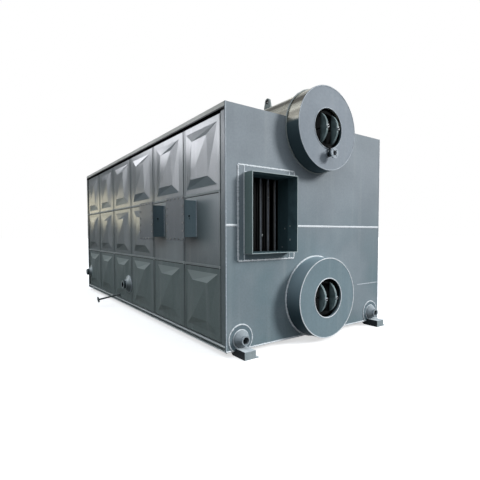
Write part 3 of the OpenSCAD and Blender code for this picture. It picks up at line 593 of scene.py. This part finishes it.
def bar(x0, x1, y0, y1, z0, z1, chamfer=0.0015):
    """A bar with chamfered edges."""
    size = (abs(x1 - x0), abs(y1 - y0), abs(z1 - z0))
    bm = bmesh.new()
    bmesh.ops.create_cube(bm, size=1.0)
    bmesh.ops.scale(bm, vec=size, verts=bm.verts)
    bmesh.ops.bevel(bm, geom=bm.edges[:], offset=min(chamfer, min(size) / 4), segments=1, affect="EDGES")
    bmesh.ops.translate(bm, vec=((x0 + x1) / 2, (y0 + y1) / 2, (z0 + z1) / 2), verts=bm.verts)
    bm.verts.index_update()
    points = [v.co.copy() for v in bm.verts]
    faces = [tuple(v.index for v in f.verts) for f in bm.faces]
    bm.free()
    return points, faces


def bead(points, size, out, seed, rough=0.25, closed=False):
    """A weld bead of a width and height along points: a low ridge on a surface, with uneven ripples."""
    rng = random.Random(seed)
    width, height = size
    normal = Vector(out).normalized()
    verts, faces = [], []
    count = len(points)
    for k, point in enumerate(points):
        ahead = points[(k + 1) % count] if closed or k < count - 1 else point
        behind = points[k - 1] if closed or k > 0 else point
        along = (ahead - behind).normalized()
        side = along.cross(normal if abs(along.dot(normal)) < 0.9 else along.orthogonal()).normalized()
        upward = side.cross(along).normalized()
        swell = 1 + rough * (rng.random() - 0.5) * 2
        sway = rough * width * 0.25 * (rng.random() - 0.5)
        for across, up in BEAD_PROFILE:
            verts.append(point + side * (across * width * swell + sway) + upward * (up * height * swell))
    n = len(BEAD_PROFILE)
    for k in range(count if closed else count - 1):
        a, b = k * n, (k + 1) % count * n
        for i in range(n - 1):
            faces.append((a + i, a + i + 1, b + i + 1, b + i))
        faces.append((a + n - 1, a, b, b + n - 1))
    if not closed:
        faces.append(tuple(range(n)))
        faces.append(tuple(range((count - 1) * n, count * n))[::-1])
    return verts, faces


def seam(start, end, size, out, seed, rough=0.25, step=POINT_STEP):
    """A straight weld bead."""
    start, end = Vector(start), Vector(end)
    count = max(2, round((end - start).length / step))
    return bead([start.lerp(end, k / count) for k in range(count + 1)], size, out, seed, rough)


def hoop(centre, axis, radius, size, out, seed, rough=0.25, start=0.0, sweep=math.tau, step=POINT_STEP):
    """A weld bead round an axis, X or Y; angle 0 is up and grows towards +Y or +X."""
    count = max(8, round(sweep * radius / step))
    closed = sweep == math.tau
    points = []
    for k in range(count if closed else count + 1):
        a = start + sweep * k / count
        across, up = radius * math.sin(a), radius * math.cos(a)
        points.append(Vector(centre) + Vector((across, 0, up) if axis == "Y" else (0, across, up)))
    return bead(points, size, out, seed, rough, closed)


def lathe(profile, centre, segments):
    """A closed profile of (radius, place along the axis) turned round an axis along Y."""
    along = Vector(REAR)
    first = along.orthogonal().normalized()
    second = along.cross(first)
    verts, faces = [], []
    n = len(profile)
    for k in range(segments):
        a = math.tau * k / segments
        ray = first * math.cos(a) + second * math.sin(a)
        verts.extend(Vector(centre) + ray * radius + along * place for radius, place in profile)
        start, following = k * n, (k + 1) % segments * n
        for i in range(n):
            j = (i + 1) % n
            faces.append((start + i, start + j, following + j, following + i))
    return verts, faces


def hex_bolt(place, axis, across_flats, height, washer=True):
    """A hexagon head with a chamfered top, on a washer if asked, standing out along an axis."""
    out = Vector(axis).normalized()
    first = out.orthogonal().normalized()
    second = out.cross(first)
    place = Vector(place)
    washer_t = 0.18 * height if washer else 0.0
    radius = across_flats / math.sqrt(3)

    def stack(sides, levels):
        """A prism whose loops of corners have a radius and a height each."""
        points = [place + out * up + (first * math.cos(a) + second * math.sin(a)) * r
                  for r, up in levels for a in (math.tau * k / sides for k in range(sides))]
        faces = [tuple(range(sides)), tuple(range((len(levels) - 1) * sides, len(levels) * sides))]
        for level in range(len(levels) - 1):
            for k in range(sides):
                j = (k + 1) % sides
                faces.append((level * sides + k, level * sides + j,
                              (level + 1) * sides + j, (level + 1) * sides + k))
        return points, faces

    shapes = [stack(6, [(radius, washer_t), (radius, washer_t + height * 0.85),
                        (radius * 0.86, washer_t + height)])]
    if washer:
        shapes.append(stack(20, [(radius * 1.22, 0.0), (radius * 1.22, washer_t)]))
    return joined(shapes)


# Side walls

LIP_W = 0.034
LIP_OUT = 0.006
LIP_INSET = 0.012
GROOVE_W = 0.024
SEAL_HALF_W = 0.0095
JOINT_BAR_H = 0.030
JOINT_BAR_OUT = 0.008
JOINT_BAR_DROP = 0.012
JOINT_SHADOW_H = 0.009
JOINT_INSET = 0.01
BOLT_INSET = 0.03


def seam_lips():
    """Lips beside the upright seams; bars, knots and black strips of painted shadow under the bars at the
    level ones; seals, the rear ones black as painted shade; and sill strips, painted highlights.
    """
    x0 = RIM_X - 0.001
    low, high = SEAM_ZS[0] + LIP_INSET, SEAM_ZS[-1] - LIP_INSET
    first, last = SEAM_YS[0] + JOINT_INSET, SEAM_YS[-1] - JOINT_INSET
    uprights, bars, shadow_strips, knots = [], [], [], []
    for k, y in enumerate(SEAM_YS[:-1]):
        for side in SIDES if k else (1,):
            y0 = y + side * GROOVE_W / 2
            for z0, z1 in zip(SEAM_ZS[:-1], SEAM_ZS[1:]):
                uprights.append(bar(x0, x0 + LIP_OUT, y0, y0 + side * LIP_W,
                                    z0 + LIP_INSET, z1 - LIP_INSET))
    for z in SEAM_ZS[1:-1]:
        z0 = z - JOINT_BAR_DROP
        bars.append(bar(x0, x0 + JOINT_BAR_OUT, first, last, z0, z0 + JOINT_BAR_H, 0.003))
        # Black strips under the joint bars: a painted shadow.
        shadow_strips.append(bar(x0, x0 + 0.003, first, last, z0 - JOINT_SHADOW_H, z0, 0.001))
        for y in SEAM_YS[1:-1]:
            knots.append(bar(x0, x0 + 0.012, y - 0.026, y + 0.026, z - 0.018, z + 0.022, 0.004))
    # Near-white sill strips: painted highlights on the channel's flange edges.
    sill = [bar(HALF_W - 0.002, HALF_W + 0.002, -HALF_L + 0.012, HALF_L - 0.012,
                PLATE_Z0 + z0, PLATE_Z0 + z1, 0.001) for z0, z1 in ((0.054, 0.077), (0.0, 0.014))]
    # Corner seals; the rear one and the lip beside it are black, a painted shade along the rear corner.
    front_seal, rear_seal = (bar(RIM_X - 0.012, x0, y - SEAL_HALF_W, y + SEAL_HALF_W, low, high)
                             for y in (SEAM_YS[0], SEAM_YS[-1]))
    rear_lip = bar(x0, x0 + LIP_OUT, last - JOINT_INSET - LIP_W, last, low, high)
    side_pieces((("front_corner_seal", [front_seal], SEAL_PAINT, "panel", False),
                 ("rear_corner_seal", [rear_seal, rear_lip], BLACK_PAINT, "panel", False),
                 ("sill_strips", sill, SILL_HIGHLIGHT_PAINT, "frame", False),
                 ("seam_lips", uprights, LOWER_PANEL, "panel", False),
                 ("joint_bars", bars, JOINT_PAINT, "panel", False),
                 ("joint_shadow_strips", shadow_strips, BLACK_PAINT, "panel", False),
                 ("joint_knots", knots, JOINT_PAINT, "panel", False)))


def box_trim():
    """Bolts on both faces of the access covers, welds round the boxes' feet, and a plug in each box."""
    cover_lo, cover_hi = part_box("access_covers")
    box_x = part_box("access_boxes")[1].x
    z = (cover_lo.z + cover_hi.z) / 2
    half_w, half_h = COVER_HALF_W - BOLT_INSET, COVER_HALF_H - BOLT_INSET
    places = [(s * half_w, half_h * k / 2.5) for s in SIDES for k in (-2.5, -1.5, -0.5, 0.5, 1.5, 2.5)]
    places += [(half_w * k / 2, s * half_h) for s in SIDES for k in (-1, 0, 1)]
    corners = [(-BOX_HALF_W, -BOX_HALF_H), (BOX_HALF_W, -BOX_HALF_H), (BOX_HALF_W, BOX_HALF_H),
               (-BOX_HALF_W, BOX_HALF_H)]
    bolts, beads, plugs = [], [], []
    for y in BOX_YS:
        for dy, dz in places:
            bolts.append(hex_bolt((cover_hi.x, y + dy, z + dz), RIGHT, 0.019, 0.009))
            bolts.append(hex_bolt((box_x, y + dy, z + dz), LEFT, 0.019, 0.010))
        for k, (dy, dz) in enumerate(corners):
            ey, ez = corners[(k + 1) % 4]
            beads.append(seam((RIM_X + 0.003, y + dy, z + dz), (RIM_X + 0.003, y + ey, z + ez),
                              (0.016, 0.009), RIGHT, k))
        plug = ((RIM_X + box_x) / 2 + 0.01, y - BOX_HALF_W, z + 0.035)
        plugs.append(hex_bolt(plug, FRONT, 0.022, 0.008, washer=False))
    side_pieces((("box_plugs", plugs, BLACK_METAL, "fitting", False),
                 ("cover_bolts", bolts, BOLT_STEEL, "fitting", False),
                 ("box_welds", beads, GREY_WELD, "box", True)))


# Ends: a weld's size is its width and height

PLATE_SEAM_Z = PLATE_Z0 + 1.517
LOW_SEAM_Z = PLATE_Z0 + 0.61
LOW_SEAM_X = 0.965
PLATE_SEAM = (0.030, 0.004)
HEADER_GAP = 0.09

# Rings of the collars: name, radius past the one that it follows, widths on the upper and the lower
# collar, height, first seed, ripple, and paints on both
COLLAR_RINGS = (
    ("collar_foot_welds", 0.008, (0.020, 0.026), 0.016, 0, 0.25, (JOINT_PAINT, WHITE_WELD)),
    ("collar_edges", -0.008, (0.010, 0.015), 0.004, 20, 0.15, (GREY_WELD, WHITE_WELD)),
    ("opening_lips", 0.007, (0.012, 0.016), 0.006, 30, 0.15, (GREY_WELD, WHITE_WELD)),
)


def plate_welds():
    """The plates' level seams, and the welds along their lower and upright edges."""
    flue_lo, flue_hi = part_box("flue_frame")
    y, z = PLATE_Y, PLATE_SEAM_Z
    beads = [seam((x0, y, z), (x1, y, z), PLATE_SEAM, FRONT, k, 0.15)
             for k, (x0, x1) in enumerate(((-HALF_W, flue_lo.x), (flue_hi.x, HALF_W)))]
    piece("front_plate_weld", beads, WHITE_WELD, True)
    beads = [seam((-HALF_W, -y, z), (HALF_W, -y, z), PLATE_SEAM, REAR, 5, 0.15)]
    piece("rear_plate_weld", beads, WHITE_WELD, True)
    low = seam((LOW_SEAM_X, y, LOW_SEAM_Z), (HALF_W, y, LOW_SEAM_Z), (0.014, 0.003), FRONT, 7)
    piece("low_plate_welds", both_ends([low]), GREY_WELD, True)
    z = PLATE_Z0 + 0.006
    spans = ((-HALF_W, -HEADER_X - HEADER_GAP), (-HEADER_X + HEADER_GAP, HEADER_X - HEADER_GAP),
             (HEADER_X + HEADER_GAP, HALF_W))
    beads = [seam((x0, y, z), (x1, y, z), (0.024, 0.008), FRONT, 11 + k)
             for k, (x0, x1) in enumerate(spans)]
    piece("plate_foot_welds", both_ends(beads), WHITE_WELD, True)
    x = HALF_W - 0.007
    beads = [seam((s * x, y, PLATE_Z0), (s * x, y, PLATE_Z1), (0.014, 0.005), FRONT, 17 + s)
             for s in SIDES]
    piece("plate_edge_welds", both_ends(beads), GREY_WELD, True)


def collar_welds():
    """Weld rings at a collar's foot, its front edge and its hand opening."""
    collars = (("upper", UPPER_Z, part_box("front_upper_collar")),
               ("lower", LOWER_Z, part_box("front_lower_collar")))
    for name, past, widths, height, seed, rough, materials in COLLAR_RINGS:
        for k, (level, z, (lo, hi)) in enumerate(collars):
            y = PLATE_Y - 0.001 if name == "collar_foot_welds" else lo.y
            radius = COLLAR_OPENING_R if name == "opening_lips" else hi.x
            ring = hoop((0, y, z), "Y", radius + past, (widths[k], height), FRONT, seed + k, rough)
            piece(f"{level}_{name}", both_ends([ring]), materials[k], True)


def flue_welds():
    """Welds round the flue's frame and duct, and up and down from the duct's corners."""
    lo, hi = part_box("flue_frame")
    duct_lo, duct_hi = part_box("flue_duct")
    out = 0.005
    outer = [(lo.x, lo.z), (hi.x, lo.z), (hi.x, hi.z), (lo.x, hi.z)]
    inner = [(duct_lo.x - out, duct_lo.z - out), (duct_hi.x + out, duct_lo.z - out),
             (duct_hi.x + out, duct_hi.z + out), (duct_lo.x - out, duct_hi.z + out)]
    beads = []
    for k in range(4):
        for y, corners, size, seed, rough in ((PLATE_Y, outer, (0.026, 0.012), 40, 0.25),
                                              (lo.y, inner, (0.014, 0.010), 50, 0.15)):
            (x0, z0), (x1, z1) = corners[k], corners[(k + 1) % 4]
            beads.append(seam((x0, y, z0), (x1, y, z1), size, FRONT, seed + k, rough))
    for x in (duct_lo.x, duct_hi.x):
        for z0, z1 in ((lo.z, duct_lo.z), (duct_hi.z, hi.z)):
            beads.append(seam((x, lo.y, z0), (x, lo.y, z1), (0.012, 0.005), FRONT, 60))
    piece("flue_frame_welds", beads, WHITE_WELD, True)


def flue_specks():
    """Bits of weld spatter on the tubes and on the flue's inner wall."""
    rng = random.Random(4)
    shapes = []
    for x, y, z, r in ((-0.745, -3.092, 1.46, 0.016), (-0.634, -3.092, 1.98, 0.010)):
        shapes.append(seam((x, y, z - r), (x + r * 0.6, y, z + r), (r * 1.2, r * 0.6), FRONT,
                           rng.randrange(99), step=r / 2))
    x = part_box("flue_duct")[1].x - 0.0085
    for y, z, r in ((-3.30, 1.55, 0.009), (-3.40, 1.58, 0.009), (-3.40, 1.40, 0.011), (-3.25, 1.30, 0.006)):
        shapes.append(seam((x, y, z - r), (x, y + r * 0.4, z + r), (r * 1.4, r * 0.4), LEFT,
                           rng.randrange(99), step=r / 2))
    piece("flue_specks", shapes, BRIGHT_SPECK, True)


def header_welds():
    """Welds round the ring plates, down to the plates' lower edge, and round the headers."""
    ring_lo, ring_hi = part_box("header_rings")
    ring_r = ring_hi.x - HEADER_X
    header_r = (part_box("right_header")[1].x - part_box("right_header")[0].x) / 2
    reach = math.acos((PLATE_Z0 - HEADER_Z + 0.004) / ring_r)
    shapes = [hoop((HEADER_X, PLATE_Y, HEADER_Z), "Y", ring_r + 0.003, (0.020, 0.012), FRONT, 71,
                   start=-reach, sweep=2 * reach),
              hoop((HEADER_X, ring_lo.y, HEADER_Z), "Y", header_r + 0.004, (0.014, 0.010), FRONT, 72)]
    placed = [w for s in shapes for w in both_sides(both_ends([s]))]
    piece("header_ring_welds", placed, WHITE_WELD, True)


def foot_welds():
    """Light strips along the feet's edges, painted highlights, and the welds between each foot and its base
    plate.
    """
    foot_lo, foot_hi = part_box("front_right_foot")
    x0, x1 = HEADER_X - FOOT_HALF_W, HEADER_X + FOOT_HALF_W
    y0, top, under = foot_lo.y, foot_hi.z, PLATE_Z0 - 0.006
    y1, z1 = y0 + 0.003, top - 0.003
    # Light strips along the edges: painted highlights.
    edge_highlights = [seam((x0 + 0.003, y0 + 0.002, top), (x0 + 0.003, PLATE_Y - 0.012, top), (0.009, 0.002), UP, 81,
                 0.1),
            seam((x0, y1, z1), (x1, y1, z1), (0.007, 0.002), UP, 82, 0.1),
            seam((x0, PLATE_Y, under), (x0, PLATE_Y + 0.03, under), (0.008, 0.004), LEFT, 83)]
    base = [seam((x1, y0 + 0.01, FOOT_PLATE_T), (x1, PLATE_Y - 0.002, FOOT_PLATE_T), (0.014, 0.008), UP,
                 84)]
    for name, shapes, material in (("foot_edge_highlights", edge_highlights, GREY_WELD),
                                   ("foot_base_welds", base, DARK_WELD)):
        placed = []
        for points, faces in shapes:
            shifted = [Vector((p.x - 2 * HEADER_X, p.y, p.z)) for p in points]
            placed += both_ends([(points, faces)]) + both_ends([(shifted, faces)])
        piece(name, placed, material, True)


# Fittings

def vent_trim():
    """The handle, bonnet nut and gland of the small valve on each vent, and its raised sealing face, black
    as a painted shade round the bore.
    """
    face_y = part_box("drum_vents")[0].y
    z = VENT_Z
    y = face_y + VENT_VALVE_IN
    handle = [
        hex_bolt((0, y, z + 0.058), UP, 0.034, 0.014, washer=False),
        bar(-0.006, 0.006, y - 0.005, y + 0.005, z + 0.06, z + 0.092),
        bar(-0.052, 0.052, y - 0.009, y + 0.009, z + 0.086, z + 0.096, 0.003),
        lathe([(0.030, -0.006), (0.037, -0.006), (0.037, 0.006), (0.030, 0.006)], (0, y, z), 32),
        lathe([(0.017, 0.0), (0.027, 0.0), (0.024, 0.012), (0.017, 0.012)],
              (0, face_y + VENT_FLANGE_T, z), 24),
    ]
    piece("vent_handles", both_ends(handle), BLACK_PAINT)
    # The sealing face is black: a painted shade round the bore.
    sealing = lathe([(0.0172, 0.0005), (0.0172, -0.0015), (0.033, -0.0015), (0.034, 0.0005)],
                    (0, face_y, z), 32)
    piece("vent_sealing_faces", both_ends([sealing]), BLACK_PAINT)


def nozzle_welds():
    """Welds round each side nozzle's cone and neck."""
    shapes = []
    for y in NOZZLE_YS:
        cone_end = (HALF_W + NOZZLE_CONE_OUT, y, NOZZLE_Z)
        shapes += [hoop((HALF_W, y, NOZZLE_Z), "X", NOZZLE_FOOT_R, (0.018, 0.010), RIGHT, 90),
                   hoop(cone_end, "X", NOZZLE_NECK_R, (0.012, 0.006), RIGHT, 91)]
    piece("nozzle_welds", both_sides(shapes), GREY_WELD, True)


def lug_welds():
    """Welds along both faces of each lifting lug."""
    shapes = []
    for side in SIDES:
        x = side * (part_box("lifting_lugs")[1].x + 0.002)
        z = UPPER_Z + math.sqrt(CLADDING_R ** 2 - x * x)
        shapes.append(seam((x, -LUG_Y - 0.07, z), (x, -LUG_Y + 0.07, z), (0.014, 0.010), UP, 95))
    piece("lug_welds", both_ends(shapes), GREY_WELD, True)


def cladding_bands():
    """Standing seams where the cladding's sheets meet, and the strips along the roof."""
    half_angle = math.acos((PLATE_Z1 - UPPER_Z) / CLADDING_R)
    step = 0.03
    bands = [hoop((0, y, UPPER_Z), "Y", CLADDING_R, (0.022, 0.006), UP, 100, 0.02, -half_angle,
                  2 * half_angle, step) for y in CLADDING_SEAM_YS]
    piece("cladding_bands", bands, CLADDING, True)
    x, y = math.sqrt(CLADDING_R ** 2 - (PLATE_Z1 - UPPER_Z) ** 2), HALF_L - 0.02
    strips = [seam((s * x, -y, PLATE_Z1), (s * x, y, PLATE_Z1), (0.03, 0.012), UP, 110, 0.1, step)
              for s in SIDES]
    piece("cladding_foot_strips", strips, GREY_WELD, True)


# Stage, lights and camera

SKY_LOW, SKY_HIGH = 0.26, 1.15
SKY_COLOUR = (0.88, 0.94, 1.0, 1)
FLOOR_BOUNCE = (0.07, 0.072, 0.075, 1)
FLOOR_HALF = 120
WHITE = (1, 1, 1, 1)
BACKDROP_R, BACKDROP_H = 12, 26
BACKDROP_EYE_Z = 1.3
KEY_SUN = {"azimuth": 43, "elevation": 24, "strength": 2.5, "spread": 16}


def background_fraction(g):
    """1 for the rays that should see a plain white background, else 0."""
    path = g.add("ShaderNodeLightPath").outputs
    seen = g.math("MAXIMUM", path["Is Camera Ray"], path["Is Glossy Ray"])
    return g.math("MAXIMUM", seen, path["Is Transmission Ray"])


def stage_floor():
    g = Graph("floor_white")
    bounce = g.add("ShaderNodeBsdfDiffuse", {"Color": FLOOR_BOUNCE}).outputs[0]
    lit = g.add("ShaderNodeBsdfDiffuse", {"Color": (0.8, 0.8, 0.8, 1)}).outputs[0]
    white = g.add("ShaderNodeAddShader", {0: lit, 1: g.glow(WHITE, 0.62)}).outputs[0]
    material = g.finish(g.blend(background_fraction(g), bounce, white))
    points = [(sx * FLOOR_HALF, sy * FLOOR_HALF, 0) for sx, sy in ((-1, -1), (1, -1), (1, 1), (-1, 1))]
    floor = new_object("floor", points, [(0, 1, 2, 3)], material)


def world_light():
    """White for the rays that see the background; for the rest a soft sky, brighter overhead."""
    g = Graph("studio", "worlds")
    up = g.add("ShaderNodeSeparateXYZ", {0: g.direction}).outputs["Z"]
    strength = g.add("ShaderNodeMapRange", {"Value": up, "From Min": 0.0, "From Max": 1.0,
                                            "To Min": SKY_LOW, "To Max": SKY_HIGH}).outputs[0]
    sky = g.add("ShaderNodeBackground", {"Color": SKY_COLOUR, "Strength": strength}).outputs[0]
    white = g.add("ShaderNodeBackground", {"Color": WHITE, "Strength": 1.0}).outputs[0]
    shader = g.blend(background_fraction(g), sky, white)
    bpy.context.scene.world = g.finish(shader, "ShaderNodeOutputWorld")


def glossy_sheet(name, points, faces, material):
    """A stage object that only glossy rays see, and that lights nothing."""
    material.cycles.emission_sampling = "NONE"
    obj = new_object(name, points, faces, material)
    for ray in ("camera", "diffuse", "transmission", "volume_scatter", "shadow"):
        setattr(obj, f"visible_{ray}", False)


def yard_backdrop():
    """What the glossy paint of the left wall mirrors: open sky over a dark hedge, a pale gap in it.

    Angles are in degrees, seen from the body's middle. Azimuth 0 is to the rear and grows to the left.
    """
    g = Graph("yard_backdrop")
    azimuth = g.math("DEGREES", g.math("ARCTAN2", g.times(g.axis("X"), -1.0), g.axis("Y")))
    elevation = g.math("DEGREES", g.math("ARCTAN2", g.minus(g.axis("Z"), BACKDROP_EYE_Z), BACKDROP_R))
    hedge = g.between(azimuth, 20.0, 48.0, 0.1, 0.75)
    haze = g.times(g.between(elevation, 5.0, 12.0), g.between(azimuth, 34.0, 58.0, 0.0, 2.9))
    below = g.times(g.plus(hedge, haze), g.between(elevation, 26.0, 32.0, 1.0, 0.25))
    cloud = g.times(g.between(elevation, 16.5, 22.5), g.between(elevation, 23.5, 30.0, 1.0, 0.16))
    cloud = g.times(cloud, g.between(azimuth, 15.0, 26.0, 0.1, 4.7))
    sky = g.times(g.between(elevation, 34.0, 42.0, 0.0, 1.85), g.between(azimuth, 23.5, 27.0, 0.38, 0.1))
    sky = g.times(sky, g.between(azimuth, 20.5, 22.5, 0.3, 1.0))
    level = g.times(g.plus(below, g.plus(cloud, sky)), g.between(azimuth, 75.0, 95.0, 1.0, 0.25))
    gap = g.times(g.between(elevation, 1.8, 6.0), g.between(elevation, 8.0, 11.0, 1.0, 0.0))
    gap = g.times(gap, g.between(azimuth, 30.0, 36.0, 1.4, 0.0))
    shader = g.add("ShaderNodeAddShader", {0: g.glow((0.97, 0.98, 1.04, 1), level),
                                           1: g.glow((1.0, 0.92, 0.66, 1), gap)}).outputs[0]
    points, faces = [], []
    for k in range(96):
        a = math.radians(-40 + 2 * k)
        across, along = -BACKDROP_R * math.sin(a), BACKDROP_R * math.cos(a)
        points += [(across, along, 0.01), (across, along, BACKDROP_H)]
        if k:
            faces.append((2 * k - 2, 2 * k, 2 * k + 1, 2 * k - 1))
    glossy_sheet("yard_backdrop", points, faces, g.finish(shader))


def yard_ground():
    """The dark ground beside the left wall, in its mirror image only."""
    g = Graph("yard_ground")
    light = g.between(g.axis("Y"), -3.0, 5.0, 0.45, 0.1)
    light = g.times(light, g.between(g.times(g.axis("X"), -1.0), 2.0, 4.0, 0.4, 1.0))
    light = g.times(light, g.between(g.noise(0.3, 3.0), 0.35, 0.65, 0.85, 1.15))
    x0, x1, y0, y1, z = -60, -HALF_W + 0.05, -40, 60, 0.004
    points = [(x0, y0, z), (x1, y0, z), (x1, y1, z), (x0, y1, z)]
    glossy_sheet("yard_ground", points, [(0, 1, 2, 3)], g.finish(g.glow((0.97, 1.02, 0.98, 1), light)))


def sun(name, azimuth, elevation, strength, spread):
    """A soft distant lamp. Azimuth 0 stands in front of the body and grows to the right."""
    lamp = bpy.data.lights.new(name, "SUN")
    lamp.energy = strength
    lamp.angle = math.radians(spread)
    obj = bpy.data.objects.new(name, lamp)
    a, e = math.radians(azimuth), math.radians(elevation)
    towards = Vector((math.sin(a) * math.cos(e), -math.cos(a) * math.cos(e), math.sin(e)))
    obj.rotation_mode = "QUATERNION"
    obj.rotation_quaternion = towards.to_track_quat("Z", "Y")
    obj.location = towards * 20
    bpy.context.scene.collection.objects.link(obj)


def camera():
    cam = bpy.data.cameras.new("camera")
    cam.sensor_width = SENSOR_W
    cam.lens = FOCAL_PX / IMAGE_SIDE * SENSOR_W
    cam.shift_y = (OPTICAL_CENTRE_Y - IMAGE_SIDE / 2) / IMAGE_SIDE
    obj = bpy.data.objects.new("camera", cam)
    cos_p, sin_p = math.cos(CAMERA_PITCH), math.sin(CAMERA_PITCH)
    cos_y, sin_y = math.cos(CAMERA_YAW), math.sin(CAMERA_YAW)
    forward = Vector((sin_y * cos_p, cos_y * cos_p, sin_p))
    level = Vector((cos_y, -sin_y, 0))
    upward = level.cross(forward)
    right = math.cos(CAMERA_ROLL) * level + math.sin(CAMERA_ROLL) * upward
    up = math.cos(CAMERA_ROLL) * upward - math.sin(CAMERA_ROLL) * level
    turn = Matrix((right, up, -forward)).transposed()
    obj.matrix_world = Matrix.Translation(CAMERA_PLACE) @ turn.to_4x4()
    bpy.context.scene.collection.objects.link(obj)
    bpy.context.scene.camera = obj


camera()
world_light()
sun("key", **KEY_SUN)
stage_floor()
yard_backdrop()
yard_ground()

dress_cad_nodes()
seam_lips()
box_trim()
plate_welds()
collar_welds()
flue_welds()
flue_specks()
header_welds()
foot_welds()
vent_trim()
nozzle_welds()
lug_welds()
cladding_bands()

bpy.context.scene.view_settings.view_transform = "Standard"
